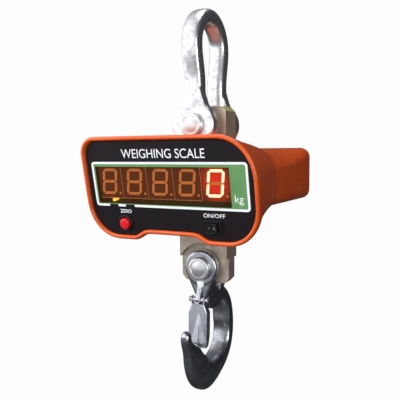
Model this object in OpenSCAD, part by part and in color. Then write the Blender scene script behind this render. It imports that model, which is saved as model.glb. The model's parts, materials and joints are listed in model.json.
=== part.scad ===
// Crane scale: a load cell between a shackle and a latched hook, inside a cast housing
// with a large seven-segment display. +Z is up, -Y is the display side, and the origin is
// the point under the crown of the shackle bow where the crane's hook bears.

/* [Load line] */
// Drop from the bearing point of the bow to the shackle pin
pin_drop = 120; // [105:1:145]
// Distance between the shackle pin and the hook pin
pin_spacing = 173; // [168:1:210]
// Radius of the shackle pin
shackle_pin_r = 11; // [9:0.5:13]
// Radius of the hook pin
hook_pin_r = 10; // [8:0.5:12]
// Radius of the round heads of both pins
pin_head_r = 14; // [13.5:0.5:17]
// Thickness of the pin heads
pin_head_t = 6; // [4:0.5:8]
// Running clearance round a pin, on the radius
pin_play = 0.05; // [0.02:0.01:0.1]

/* [Load cell] */
// Width of the load cell plate
cell_w = 64; // [56:1:78]
// Thickness of the load cell plate
cell_t = 29; // [24:1:35]
// Plate left above the shackle pin's axis
cell_top = 22; // [20:1:26]
// Plate left below the hook pin's axis
cell_bottom = 19; // [17:1:23]
// Chamfer on the four corners of the plate
cell_chamfer = 6; // [3:0.5:9]
// Thickness of the lower lug between its two milled faces
lug_t = 17; // [14:1:20]
// Radius of the milled face
mill_r = 37; // [35:1:42]
// Drop of the milling centre below the hook pin
mill_drop = 7; // [4:1:9]
// Wall of the bushes pressed into both eyes
bush_wall = 2; // [1.5:0.5:3]

/* [Shackle] */
// Thickness of the forged bar in the plane of the bow
bar_d = 18; // [15:0.5:21]
// Width of the forged bar across the bow
bar_w = 23; // [18:0.5:24]
// Inner radius of the bow at its crown
bow_in_r = 27; // [24:1:32]
// Gap between the two eyes
jaw = 47; // [44:1:56]
// Outer radius of an eye
eye_r = 27.5; // [23:0.5:28]
// Thickness of an eye
eye_t = 14.5; // [12:0.5:17]
// Length over which a leg swings out from its eye to the bow
leg_swing = 46; // [38:1:52]

/* [Hook] */
// Outer radius of the clevis ears
ear_r = 21.5; // [18:0.5:23]
// Thickness of a clevis ear
ear_t = 11.5; // [9:0.5:14]
// Gap between an ear and the lug
ear_gap = 2; // [0.6:0.1:3]
// Gap below the lug that lets the hook swing
crotch_gap = 6; // [5:0.5:9]
// Drop from the hook pin to the centre of the bowl
bowl_drop = 91; // [86:1:110]
// Radius of the bowl
bowl_r = 35; // [30:1:38]
// Thickness of the hook behind the bowl
back_t = 29; // [22:0.5:31.5]
// Width of the hook at its inner face
hook_w = 30; // [24:1:32]
// Width of the hook at its outer face
hook_rim_w = 12; // [8:1:14]
// Radius of the ball at the tip
tip_r = 6.4; // [5:0.2:8]

/* [Latch] */
// Drop from the hook pin to the latch pin
latch_drop = 37.5; // [36:0.5:40]
// Distance of the latch pin in front of the load line
latch_fwd = 27; // [26:0.5:29]
// Length of the latch below its pin
latch_len = 58; // [54:1:60]
// Width of the latch plate
latch_w = 25.4; // [25:0.2:28]
// Sheet thickness of the latch
latch_t = 1.5; // [1:0.1:2]
// Radius of the latch pin
latch_pin_r = 2; // [1.5:0.1:2.5]

/* [Housing] */
// Width of the display head
head_w = 215; // [205:1:258]
// Height of the head above the centre of its panel
head_up = 54; // [50:1:65]
// Depth of the two lobes below the centre of the panel
head_down = 65; // [60:1:75]
// Width of the housing where the head meets the rear box
waist_w = 186; // [170:1:210]
// Width of the rear box at its back
rear_w = 193; // [180:1:215]
// Wall of the casting
wall = 4; // [2.5:0.5:5]
// Distance from the load line forward to the rim
head_fwd = 103.6; // [95:1:115]
// Distance from the load line back to the rear cover
rear_back = 107; // [104:1:130]
// Height of the saddle above the centre of the panel
saddle_up = 38.6; // [34:0.2:39]
// Depth of the rear box below the centre of the panel
rear_down = 28.5; // [27:0.5:40]
// Downward tilt of the panel in degrees
tilt = 10.7; // [5:0.1:15]

/* [Panel] */
// Depth of the panel behind the rim
panel_sink = 4; // [2:0.5:8]
// Width of the window
window_w = 168; // [160:1:169]
// Height of the window
window_h = 45; // [42:1:48]
// Height of a digit
digit_h = 30; // [25:0.5:34]
// Distance between two digits
digit_pitch = 33.4; // [30:0.2:33.4]
// Radius of the zero button
button_r = 6.4; // [5:0.1:7.5]
// Travel of the zero button
button_travel = 2; // [1:0.5:3]

/* [Hidden] */
$fn = 64;

// Heights of the main features below the origin
shackle_z = -pin_drop;
panel_below_pin = 67;
panel_z = shackle_z - panel_below_pin;
hook_z = shackle_z - pin_spacing;
cell_mid_z = (shackle_z + hook_z) / 2;
latch_z = hook_z - latch_drop;
bowl_z = hook_z - bowl_drop;
panel_y = -head_fwd + panel_sink;

// Colours
ORANGE = [0.80, 0.30, 0.13];
BLACK = [0.12, 0.11, 0.12];
STEEL = [0.72, 0.73, 0.75];
NICKEL = [0.68, 0.64, 0.58];
GREEN_BOARD = [0.10, 0.38, 0.22];
SMOKE = [0.30, 0.14, 0.08];
RED = [0.80, 0.10, 0.12];

// ---- Helpers ----

// Closed skin through a list of rings that all have the same number of points; looking
// from the first ring to the last, the points run anticlockwise
module skin(rings) {
    n = len(rings[0]);
    m = len(rings);
    points = [for (ring = rings) each ring];
    sides = [for (j = [0:m-2], i = [0:n-1])
        let (a = j*n + i, b = j*n + (i+1) % n)
        each [[a, b, b+n], [a, b+n, a+n]]];
    first = [for (i = [n-1:-1:0]) i];
    last = [for (i = [0:n-1]) (m-1)*n + i];
    polyhedron(points, concat(sides, [first, last]), convexity = 6);
}

// Smooth step from 0 to 1 while t goes from 0 to 1
function ease(t) = let (c = min(max(t, 0), 1)) c*c*(3 - 2*c);

// Value raised to a power with its sign kept
function spow(v, p) = sign(v) * pow(abs(v), p);

// Box centred in X and Y that stands from z0 to z1
module post(w, d, z0, z1) {
    translate([-w/2, -d/2, z0]) cube([w, d, z1 - z0]);
}

// Cylinder along Y from y0 to y1
module rod_y(r, y0, y1) {
    translate([0, y1, 0]) rotate([90, 0, 0]) cylinder(r = r, h = y1 - y0);
}

// Cylinder along X from x0 to x1
module rod_x(r, x0, x1) {
    translate([x0, 0, 0]) rotate([0, 90, 0]) cylinder(r = r, h = x1 - x0);
}

// Places its children on the front face of the panel: x right, y up the panel, z outwards
module on_panel() {
    translate([0, panel_y, panel_z]) rotate([90 + tilt, 0, 0]) children();
}

// Rectangle with round corners, extruded from z0 to z1 and centred in x and y
module tile(w, h, r, z0, z1) {
    translate([0, 0, z0]) linear_extrude(z1 - z0) tile_outline(w, h, r);
}

module tile_outline(w, h, r) {
    square([w, h - 2*r], center = true);
    square([w - 2*r, h], center = true);
    for (x = [-1, 1], y = [-1, 1]) translate([x*(w/2 - r), y*(h/2 - r)]) circle(r);
}

// ---- Housing shape ----
// A station is [y, lean, half width, up, top corner x and z, top power, down, bottom corner x and z,
// inner end of the lobe, edge of the notch, depth of the notch].
notch_rise = 8.3;
lobe_in = 45;
notch_in = 31;
waist_y = -12;
rim_station = [-head_fwd, 1, head_w/2, head_up, 42, 48, 2, head_down, 37.5, 42.5,
               lobe_in, notch_in, head_down - notch_rise];
rear_station = [rear_back, 0, rear_w/2, saddle_up, 13, 12, 2, rear_down, 12, 12, 42, 28, rear_down];
waist_up = saddle_up + 1;
under_y = -44;
under_down = rear_down + 7;

// Half width part of the way from the waist (0) to the rim (1)
function head_hw(t) = waist_w/2 + t*(head_w - waist_w)/2;

stations = [
    rim_station,
    [-head_fwd + 9, 0.9, head_hw(0.97), head_up - 0.5, 42, 47.5, 2, head_down - 0.8, 37.5, 42,
     lobe_in, notch_in, head_down - notch_rise - 0.3],
    [-82, 0.6, head_hw(0.78), head_up - 4, 37, 42, 2, head_down - 10, 34, 33, lobe_in, notch_in,
     head_down - notch_rise - 4],
    [under_y, 0.15, head_hw(0.33), head_up - 10, 29, 32, 2, under_down, 18, 16, 43, 29, under_down - 1],
    [waist_y, 0, waist_w/2, waist_up, 27, 27, 2, rear_down + 0.5, 13, 12, 42, 28, rear_down + 0.5],
    [waist_y + 1.5, 0, waist_w/2 - 1, waist_up - 1, 26, 25, 1.5, rear_down, 12, 12, 42, 28, rear_down],
    [60, 0, (waist_w + rear_w)/4, saddle_up, 22, 20, 1.5, rear_down, 12, 12, 42, 28, rear_down],
    rear_station];

corner_steps = 9;

// Quarter of a superellipse from angle a0 to a1
function corner(cx, cz, rx, rz, n, a0, a1) = [for (i = [0:corner_steps])
    let (a = a0 + (a1 - a0)*i/corner_steps)
    [cx + rx*spow(cos(a), 2/n), cz + rz*spow(sin(a), 2/n)]];

// One half of a station's outline, from the top centre round to the bottom centre; its top
// corner is drawn smaller by the shares kx and kz
function half_outline(s, t, kx, kz) = let (hw = s[2] - t, up = s[3] - t, down = s[7] - t,
        rx = s[4]*kx - t, rz = s[5]*kz - t, bx = s[8] - t, bz = s[9] - t, notch = s[12] - t) concat(
    [[0, up]],
    corner(hw - rx, up - rz, rx, rz, s[6], 90, 0),
    corner(hw - bx, -down + bz, bx, bz, 2, 0, -90),
    [[s[10] + 0.35*t, -down], [s[11] + 0.35*t, -notch], [0, -notch]]);

// How much smaller the left top corner of the leaning rim is than the right one
left_share = [0.52, 0.58];

// Whole outline of a station, drawn t inside its true size
function outline(s, t = 0) = let (half = half_outline(s, t, 1, 1), n = len(half),
        left = half_outline(s, t, 1 - left_share.x*s[1], 1 - left_share.y*s[1])) concat(half,
    [for (i = [n-2:-1:1]) [-left[i].x, left[i].y]]);

// A station's ring in space
function ring(s, t = 0, dy = 0) = [for (p = outline(s, t))
    [p.x, s[0] + dy - s[1]*p.y*sin(tilt), panel_z + p.y*(1 - s[1]*(1 - cos(tilt)))]];

last_station = len(stations) - 1;

module housing_outer() {
    skin([for (i = [last_station:-1:0]) ring(stations[i])]);
}

// Space inside the walls, which runs out past both open ends
module housing_inner() {
    skin([for (i = [last_station:-1:0])
        ring(stations[i], wall, i == 0 ? -2 : i == last_station ? 2 : 0)]);
}

// Outline of the panel opening, t inside the rim
module panel_outline(t) {
    polygon(outline(rim_station, t));
}

plate_t = 2;
film_t = 0.4;
plate_gap = 1.4;
plate_front = -film_t;
plate_back = plate_front - plate_t;
ledge_t = 4;
ledge_w = 9;
seal_wall = 3.5;
slot_w = cell_w + 2*seal_wall;
slot_d = cell_t + 2*seal_wall;
swing_gap = 3;
screw_r = 1.5;
screw_inset = wall + plate_gap + 4.2;
plate_screw_at = [for (x = [-1, 1]) each [
    [x*(head_w/2 - screw_inset), 12],
    [x*head_w/4, head_up - screw_inset],
    [x*(head_w/2 - 4*screw_inset), -head_down + screw_inset]]];
rear_boss_r = 6;
rear_screw_at = [for (x = [-1, 1], z = [-12, 24]) [x*(rear_w/2 - 8), z]];
foot_screw_x = 54;

module housing() {
    color(ORANGE) difference() {
        union() {
            difference() {
                housing_outer();
                housing_inner();
            }
            on_panel() translate([0, 0, plate_back - ledge_t]) linear_extrude(ledge_t) difference() {
                panel_outline(wall - 1);
                panel_outline(wall + ledge_w);
                translate(button_at) circle(barrel_r + 4);
                translate(rocker_at) square(rocker_hole + [3, 3], center = true);
            }
            intersection() {
                housing_outer();
                for (p = rear_screw_at) translate([p.x, 0, panel_z + p.y])
                    rod_y(rear_boss_r, rear_back - 16, rear_back);
            }
        }
        // openings for the load cell, and the clearance for the shackle's eyes
        translate([0, 0, panel_z]) post(slot_w, slot_d, -rear_down - 6, saddle_up + 6);
        translate([0, 0, shackle_z]) rod_y(eye_r + swing_gap, -jaw/2 - eye_t - 12, jaw/2 + eye_t + 12);
        on_panel() for (p = plate_screw_at) translate([p.x, p.y, plate_back - ledge_t - 1])
            cylinder(r = screw_r, h = ledge_t + 2);
        for (p = rear_screw_at) translate([p.x, 0, panel_z + p.y])
            rod_y(screw_r, rear_back - 12, rear_back + 1);
        for (x = [-1, 1]) translate([x*foot_screw_x, 0, panel_z - rear_down - 4])
            cylinder(r = 3.1, h = wall + 6);
    }
}

// ---- Front panel ----
window_x = -8;
window_fit = 0.2;
button_at = [-58.8, -45.6];
rocker_at = [52, -44.8];
rocker_hole = [18.6, 12.4];
barrel_r = button_r + 1.6;

module panel_cuts(fit) {
    translate([window_x, 0]) square([window_w + 2*fit, window_h + 2*fit], center = true);
    translate(button_at) circle(barrel_r + 0.1);
    translate(rocker_at) square(rocker_hole + [0.2, 0.2], center = true);
}

module front_plate() {
    color(BLACK) on_panel() difference() {
        translate([0, 0, plate_back]) linear_extrude(plate_t) difference() {
            panel_outline(wall + plate_gap);
            panel_cuts(window_fit);
        }
        for (p = plate_screw_at) translate([p.x, p.y, 0]) {
            translate([0, 0, plate_back - 1]) cylinder(r = screw_r + 0.2, h = plate_t + 2);
            translate([0, 0, plate_front - 1.2]) cylinder(r = 2.9, h = 2);
        }
    }
}

module front_overlay() {
    color([0.15, 0.12, 0.14]) on_panel() translate([0, 0, plate_front]) linear_extrude(film_t) difference() {
        panel_outline(wall + plate_gap);
        panel_cuts(0);
    }
}

module plate_screws() {
    color(STEEL) on_panel() for (p = plate_screw_at) translate([p.x, p.y, 0]) {
        translate([0, 0, plate_back - ledge_t]) cylinder(r = screw_r - 0.02, h = ledge_t + 1);
        translate([0, 0, plate_front - 1.1]) cylinder(r = 2.8, h = 1);
    }
}

module display_window() {
    color(SMOKE) on_panel() translate([window_x, 0, plate_back]) linear_extrude(plate_t)
        square([window_w, window_h], center = true);
}

digit_front = -3.4;
digit_depth = 9;
board_t = 1.6;
board_z = digit_front - digit_depth - board_t;
board_size = [180, 60];
digit_y = 2.5;
digit_module = [33.2, 39];
digit_x = [for (i = [-2:2]) window_x - 1.2 + i*digit_pitch];
spacer_at = [for (x = [-80, 80], y = [-27, 27]) [window_x + x, y]];

module window_seal() {
    color([0.1, 0.1, 0.1]) on_panel() translate([window_x, 0, digit_front])
        linear_extrude(plate_back - digit_front) difference() {
            square([window_w + 3, window_h + 3], center = true);
            square([window_w - 2, window_h - 1], center = true);
        }
}

module display_board() {
    color(GREEN_BOARD) on_panel() difference() {
        translate([window_x, 0, board_z]) linear_extrude(board_t) square(board_size, center = true);
        for (p = spacer_at) translate([p.x, p.y, board_z - 1]) cylinder(r = screw_r + 0.1, h = board_t + 2);
    }
}

// ---- Digits ----
digit_w = 19.8;
stroke = 3.1;
slant = 8.5;
segment_gap = 0.35;
segment_sink = 1.2;
segment_rise = 0.15;
dot_r = 1.4;
dot_gap = 2.6;

// Point of a digit leaned over by the slant
function leaned(p) = [p.x + p.y*tan(slant), p.y];

// Six-sided bar from a to b
function bar(a, b, h, gap) = let (u = (b - a)/norm(b - a), v = [-u.y, u.x]) [
    a + u*gap, a + u*(gap + h) + v*h, b - u*(gap + h) + v*h,
    b - u*gap, b - u*(gap + h) - v*h, a + u*(gap + h) - v*h];

reach_x = (digit_w - stroke)/2;
reach_y = (digit_h - stroke)/2;
bars = [[[-1, 1], [1, 1]], [[1, 1], [1, 0]], [[1, 0], [1, -1]], [[-1, -1], [1, -1]],
        [[-1, 0], [-1, -1]], [[-1, 1], [-1, 0]], [[-1, 0], [1, 0]]];

module segment_shapes(grow) {
    for (b = bars) {
        a = [b[0].x*reach_x, b[0].y*reach_y];
        c = [b[1].x*reach_x, b[1].y*reach_y];
        polygon([for (p = bar(a, c, stroke/2 + grow, segment_gap - grow)) leaned(p)]);
    }
    translate([digit_w/2 + dot_gap, -reach_y]) circle(dot_r + grow);
}

module digit_block(i) {
    color([0.25, 0.12, 0.07]) on_panel() translate([digit_x[i], digit_y, 0]) difference() {
        translate([0, 0, digit_front - digit_depth]) linear_extrude(digit_depth)
            square([min(digit_module.x, digit_pitch - 0.2), digit_module.y], center = true);
        translate([0, 0, digit_front - segment_sink]) linear_extrude(segment_sink + 1) segment_shapes(0.05);
    }
}

module digit_lights(i) {
    lit = i == 4 ? [1, 0.9, 0.7] : [0.75, 0.42, 0.2];
    color(lit) on_panel() translate([digit_x[i], digit_y, digit_front - segment_sink])
        linear_extrude(segment_sink + segment_rise) segment_shapes(0);
}

module digit_1() { digit_block(0); }
module digit_2() { digit_block(1); }
module digit_3() { digit_block(2); }
module digit_4() { digit_block(3); }
module digit_5() { digit_block(4); }
module segments_1() { digit_lights(0); }
module segments_2() { digit_lights(1); }
module segments_3() { digit_lights(2); }
module segments_4() { digit_lights(3); }
module segments_5() { digit_lights(4); }

lamp_x = [-75, -53];
lamp_r = 1.9;

module status_lamps() {
    color([0.95, 0.45, 0.15]) on_panel() for (x = lamp_x) translate([x, -20, board_z + board_t]) {
        cylinder(r = lamp_r, h = digit_depth - lamp_r);
        translate([0, 0, digit_depth - lamp_r]) sphere(lamp_r - 0.2);
    }
}

// ---- Controls ----
button_rise = 5.4;
bezel_t = 1.6;
barrel_depth = 15;
button_fit = 0.3;
shelf = -6;

module zero_switch() {
    color(BLACK) on_panel() translate(button_at) difference() {
        union() {
            cylinder(r = barrel_r + 1.6, h = bezel_t);
            translate([0, 0, -barrel_depth]) cylinder(r = barrel_r, h = barrel_depth + 1);
            translate([0, 0, plate_back - 3]) cylinder(r = barrel_r + 3, h = 3, $fn = 6);
            for (x = [-3, 3]) translate([x - 1, -0.4, -barrel_depth - 5]) cube([2, 0.8, 6]);
        }
        translate([0, 0, shelf - 5]) cylinder(r = button_r + button_fit, h = 20);
    }
}

module zero_spring() {
    color(STEEL) on_panel() translate([button_at.x, button_at.y, shelf - 5]) for (i = [0:4])
        translate([0, 0, 0.5 + i*0.98]) rotate_extrude() translate([button_r - 2, 0]) circle(0.4, $fn = 16);
}

module zero_cap() {
    color(RED) on_panel() translate(button_at) rotate_extrude() polygon(concat(
        [[0, shelf], [button_r, shelf], [button_r, button_rise - 1.6]],
        [for (a = [10:10:90]) [button_r - 1.6 + 1.6*cos(a), button_rise - 1.6 + 1.6*sin(a)]],
        [[0, button_rise]]));
}

rocker_tilt = 8;
rocker_size = [14.6, 10.2];
rocker_pivot = -1;
rocker_pin_r = 1;

module rocker_frame() {
    color(BLACK) on_panel() translate(rocker_at) {
        difference() {
            union() {
                tile(21, 15, 1.5, 0, 2);
                translate([0, 0, -14]) linear_extrude(14.5) square(rocker_hole, center = true);
            }
            translate([0, 0, -7]) linear_extrude(12) square(rocker_size + [0.8, 0.6], center = true);
            translate([0, -rocker_hole.y, rocker_pivot]) rotate([-90, 0, 0])
                cylinder(r = rocker_pin_r + pin_play, h = 2*rocker_hole.y);
        }
        for (x = [-5, 5]) translate([x - 0.4, -2.4, -20]) cube([0.8, 4.8, 6.5]);
    }
}

// Rocker with two faces that meet in a shallow valley; it rests with its left side pressed
module rocker_cap() {
    color([0.07, 0.07, 0.08]) on_panel() translate([rocker_at.x, rocker_at.y, rocker_pivot])
        rotate([0, -rocker_tilt, 0]) {
        translate([0, rocker_size.y/2, 0]) rotate([90, 0, 0]) linear_extrude(rocker_size.y) polygon(concat(
            [[-rocker_size.x/2 + 1, 4.6], [0, 3.2], [rocker_size.x/2 - 1, 4.6]],
            [for (a = [30:-20:-90]) [7*cos(a), 4.5*sin(a)]],
            [for (a = [-110:-20:-210]) [7*cos(a), 4.5*sin(a)]]));
        translate([0, -5.6, 0]) rotate([-90, 0, 0]) cylinder(r = rocker_pin_r, h = 11.2);
    }
}

// ---- Electronics ----
main_board_z = board_z - 18;
main_board_size = [120, 60];

spacer_r = 2.6;

module main_board_spacer(x, y) {
    translate([x, y, main_board_z + board_t]) cylinder(r = spacer_r, h = board_z - main_board_z - board_t);
}

module board_spacers() {
    color(STEEL) on_panel() for (p = spacer_at) translate([p.x, p.y, 0]) {
        translate([0, 0, board_z + board_t]) cylinder(r = spacer_r, h = plate_back - board_z - board_t);
        if (p.x > 0) main_board_spacer(0, 0);
    }
    color(STEEL) on_panel() for (y = [-27, 27]) main_board_spacer(spacer_at[3].x - 108, y);
}

module board_screws() {
    color(STEEL) on_panel() for (p = spacer_at) {
        z = p.x > 0 ? main_board_z : board_z;
        translate([p.x, p.y, z - 2]) cylinder(r = 2.8, h = 2);
        translate([p.x, p.y, z - 0.5]) cylinder(r = screw_r, h = board_t + 0.5);
    }
}

// Chip or connector of a given size that stands a height off the back of the main board
module board_block(at, size, height) {
    translate([at.x, at.y, -height]) linear_extrude(height + 0.2) square(size, center = true);
}

module main_board() {
    color(GREEN_BOARD) on_panel() difference() {
        union() {
            translate([spacer_at[3].x - 54, 0, main_board_z]) {
                linear_extrude(board_t) square(main_board_size, center = true);
                board_block([0, 8], [22, 22], 3);
                board_block([-36, -12], [14, 10], 9);
                board_block([30, -14], [20, 8], 8);
            }
        }
        for (p = spacer_at) translate([p.x, p.y, main_board_z - 1])
            cylinder(r = screw_r + 0.1, h = board_t + 2);
    }
}

battery_size = [100, 70, 47];
battery_y = rear_back - 5 - battery_size.y/2;
floor_z = panel_z - rear_down + wall;
battery_lift = 0.5;

module battery() {
    color([0.2, 0.22, 0.25]) translate([0, battery_y, floor_z + battery_lift]) {
        post(battery_size.x, battery_size.y, 0, battery_size.z - 3);
        post(battery_size.x - 3, battery_size.y - 3, battery_size.z - 3.5, battery_size.z);
        for (x = [-38, 38]) translate([x, 25, battery_size.z - 0.5]) post(5, 1, 0, 6);
    }
}

module battery_strap() {
    strap_t = 1.5;
    gap = 0.6;
    h = battery_size.z + battery_lift + gap;
    color(STEEL) translate([0, battery_y, floor_z]) {
        post(battery_size.x + 2*gap + 2*strap_t, 14, h, h + strap_t);
        for (x = [-1, 1]) {
            translate([x*(battery_size.x/2 + gap + strap_t/2), 0, 0]) post(strap_t, 14, 0, h + strap_t/2);
            translate([x*(battery_size.x/2 + gap + strap_t/2 + 8), 0, 0]) post(17.5, 14, 0, strap_t);
        }
    }
}

// ---- Load cell ----
pocket_r = 13;
pocket_depth = 9;
pocket_z = [cell_mid_z - 22, cell_mid_z + 18];

// Outline of the plate in X and Z with its four corners cut
module cell_outline() {
    w = cell_w/2;
    top = shackle_z + cell_top;
    low = hook_z - cell_bottom;
    c = cell_chamfer;
    polygon([[-w, low + c], [-w + c, low], [w - c, low], [w, low + c],
             [w, top - c], [w - c, top], [-w + c, top], [-w, top - c]]);
}

module load_cell() {
    color(NICKEL) difference() {
        translate([0, cell_t/2, 0]) rotate([90, 0, 0]) linear_extrude(cell_t) cell_outline();
        translate([0, 0, shackle_z]) rod_y(shackle_pin_r + bush_wall, -cell_t, cell_t);
        translate([0, 0, hook_z]) rod_y(hook_pin_r + bush_wall, -cell_t, cell_t);
        for (s = [-1, 1]) {
            // milled faces of the lower lug
            difference() {
                translate([0, s*(cell_t + lug_t)/2, hook_z - mill_drop])
                    rod_y(mill_r + 20, -cell_t/2, cell_t/2);
                translate([0, s*(cell_t + lug_t)/2, hook_z - mill_drop]) mill_keep();
            }
            for (z = pocket_z) translate([0, s*cell_t/2, z]) rod_y(pocket_r, -pocket_depth, pocket_depth);
            translate([s*cell_w/2, 0, clamp_z]) rod_x(2.5, -12, 12);
        }
    }
}

// What the milling leaves: everything outside the radius, above the milling centre's level
module mill_keep() {
    difference() {
        translate([-60, -cell_t, 0]) cube([120, 2*cell_t, 80]);
        rod_y(mill_r, -cell_t - 1, cell_t + 1);
    }
}

module gauge_covers() {
    color(STEEL) for (s = [-1, 1], z = pocket_z) translate([0, s*(cell_t/2 - 0.75), z])
        rod_y(pocket_r - 0.1, -0.75, 0.75);
}

module bush(r, t) {
    difference() {
        rod_y(r + bush_wall, -t/2, t/2);
        rod_y(r + pin_play, -t, t);
    }
}

module upper_bush() {
    color([0.75, 0.6, 0.35]) translate([0, 0, shackle_z]) bush(shackle_pin_r, cell_t);
}

module lower_bush() {
    color([0.75, 0.6, 0.35]) translate([0, 0, hook_z]) bush(hook_pin_r, lug_t);
}

module cell_seal(z0, z1) {
    color([0.08, 0.08, 0.08]) difference() {
        translate([0, 0, panel_z]) post(slot_w - 0.1, slot_d - 0.1, z0, z1);
        translate([0, 0, panel_z]) post(cell_w + 0.1, cell_t + 0.1, z0 - 1, z1 + 1);
    }
}

module upper_seal() { cell_seal(saddle_up - 6, saddle_up + 0.8); }
module lower_seal() { cell_seal(-rear_down - 1.5, -rear_down + wall); }

bracket_t = 4;
bracket_h = 46;
foot_reach = 30;
clamp_z = floor_z + 17;

module clamp_brackets() {
    color(STEEL) for (s = [-1, 1]) difference() {
        union() {
            translate([s*(cell_w/2 + seal_wall + 1), 0, floor_z]) post(bracket_t, 24, 0, bracket_h);
            translate([s*(cell_w/2 + seal_wall + foot_reach/2 - 1), 0, floor_z])
                post(foot_reach, 24, 0, bracket_t);
            translate([s*(cell_w/2 + (seal_wall - 1)/2), 0, clamp_z]) post(seal_wall - 1, 14, -7, 7);
        }
        translate([0, 0, clamp_z]) rod_x(3.2, -100, 100);
        translate([s*foot_screw_x, 0, floor_z - 1]) cylinder(r = 3.2, h = 8);
    }
}

module clamp_bolts() {
    shank = cell_w/2 - 10;
    color(STEEL) for (s = [-1, 1]) {
        translate([0, 0, clamp_z]) mirror([s < 0 ? 1 : 0, 0, 0]) {
            rod_x(2.45, shank, cell_w/2 + seal_wall + bracket_t);
            rod_x(5, cell_w/2 + seal_wall + 3, cell_w/2 + seal_wall + 8, $fn = 6);
        }
        translate([s*foot_screw_x, 0, floor_z - wall - 2.4]) {
            cylinder(r = 5, h = 2.4);
            translate([0, 0, 1]) cylinder(r = 3, h = wall + bracket_t + 2);
            translate([0, 0, wall + 2.4 + bracket_t]) cylinder(r = 5.5, h = 4, $fn = 6);
        }
    }
}

// ---- Rear cover ----
rear_seal_t = 1;
cover_t = 4;
socket_at = [62, 6];
socket_r = 7.9;
socket_len = 9;

module rear_plane(y0, t) {
    translate([0, y0 + t, panel_z]) rotate([90, 0, 0]) linear_extrude(t) children();
}

module rear_seal() {
    color([0.08, 0.08, 0.08]) difference() {
        rear_plane(rear_back, rear_seal_t) difference() {
            polygon(outline(rear_station, 0.6));
            polygon(outline(rear_station, wall));
        }
    }
}

module rear_cover() {
    y0 = rear_back + rear_seal_t;
    color(ORANGE) difference() {
        rear_plane(y0, cover_t) polygon(outline(rear_station));
        for (p = rear_screw_at) translate([p.x, y0, panel_z + p.y]) {
            rod_y(screw_r + 0.3, -1, cover_t + 1);
            rod_y(3.4, cover_t - 2, cover_t + 1);
        }
        translate([socket_at.x, y0, panel_z + socket_at.y]) rod_y(7, -1, cover_t + 1);
    }
}

module cover_screws() {
    y0 = rear_back + rear_seal_t + cover_t - 2;
    color(STEEL) for (p = rear_screw_at) translate([p.x, y0, panel_z + p.y]) difference() {
        union() {
            rod_y(screw_r - 0.02, -13, 0.5);
            rod_y(3.1, 0, 1.9);
        }
        translate([0, 1, 0]) rod_y(1.5, 0, 2, $fn = 6);
    }
}

module charge_socket() {
    y0 = rear_back + rear_seal_t + cover_t;
    color(STEEL) translate([socket_at.x, y0, panel_z + socket_at.y]) difference() {
        union() {
            rod_y(socket_r + 1.6, 0, 2);
            rod_y(socket_r, 1.5, 2 + socket_len);
            rod_y(6.8, -cover_t - 12, 1);
            rod_y(9.5, -cover_t - 3, -cover_t, $fn = 6);
        }
        rod_y(6, 4, 3 + socket_len);
    }
}

// ---- Shackle ----
bow_r = bow_in_r + bar_d/2;
leg_y = (jaw + 2*eye_t - bar_d)/2;
bow_centre_z = -bow_in_r;
leg_steps = 8;
bar_power = 0.6;
bow_steps = 20;

// Centreline of one leg from its eye up to the bow, as [y, z, heading from straight up]
function leg_path() = [for (i = [-1:leg_steps]) let (t = i/leg_steps, rise = bow_r - leg_y)
    i < 0 ? [leg_y, shackle_z + eye_r*0.68, 0] :
    [leg_y + rise*ease(t), bow_centre_z - leg_swing*(1 - t), atan2(rise*6*t*(1 - t), leg_swing)]];

function bow_path() = [for (i = [1:bow_steps-1]) let (a = 180*i/bow_steps)
    [bow_r*cos(a), bow_centre_z + bow_r*sin(a), -a]];

path = concat(leg_path(), bow_path(),
    [for (i = [leg_steps+1:-1:0]) let (p = leg_path()[i]) [-p[0], p[1], 180 - p[2]]]);

// Section of the forged bar: a square with very round corners
function bar_ring(p) = [for (a = [0:22.5:337.5])
    let (u = bar_d/2*spow(cos(a), bar_power), x = bar_w/2*spow(sin(a), bar_power))
    [x, p[0] + u*cos(p[2]), p[1] - u*sin(p[2])]];

module shackle_bow() {
    color(STEEL) difference() {
        union() {
            skin([for (p = path) bar_ring(p)]);
            for (s = [-1, 1]) translate([0, s*(jaw + eye_t)/2, shackle_z]) {
                rod_y(eye_r, -eye_t/2, eye_t/2);
                leg_root();
            }
        }
        translate([0, 0, shackle_z]) rod_y(shackle_pin_r + 0.3, -jaw, jaw);
    }
}

// Web that carries an eye into its leg
module leg_root() {
    w = bar_w/2 - 1;
    translate([0, eye_t/2, 0]) rotate([90, 0, 0]) linear_extrude(eye_t)
        polygon([[-eye_r*0.8, eye_r*0.6], [eye_r*0.8, eye_r*0.6], [w, eye_r*1.35], [-w, eye_r*1.35]]);
}

spacer_play = 0.4;
cotter_r = 1.6;
washer_t = 2.5;
// Distance of the cotter behind the washer
cotter_set = 4.6;

// Round-headed pin from its head at the front to its cross-drilled end at the back
module headed_pin(r, front, back) {
    difference() {
        union() {
            rod_y(r, front - 1, back + washer_t + 2*cotter_set);
            rod_y(pin_head_r - 1, front - pin_head_t, front);
            rod_y(pin_head_r, front - pin_head_t + 1, front);
        }
        translate([0, back + washer_t + cotter_set, 0]) cylinder(r = cotter_r + 0.1, h = 60, center = true);
    }
}

module cotter(r, back) {
    translate([0, back + washer_t + cotter_set, 0]) {
        translate([0, 0, -r - 7]) cylinder(r = cotter_r, h = 2*r + 9);
        translate([0, 0, r + 4.5]) rotate([0, 90, 0]) rotate_extrude()
            translate([2.8, 0]) circle(cotter_r - 0.4, $fn = 16);
    }
}

module washer(r, back) {
    difference() {
        rod_y(r + 6, back + 0.2, back + washer_t);
        rod_y(r + 0.2, back - 1, back + washer_t + 1);
    }
}

shackle_back = jaw/2 + eye_t;

module shackle_pin() {
    color(STEEL) translate([0, 0, shackle_z]) headed_pin(shackle_pin_r, -shackle_back, shackle_back);
}

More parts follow.
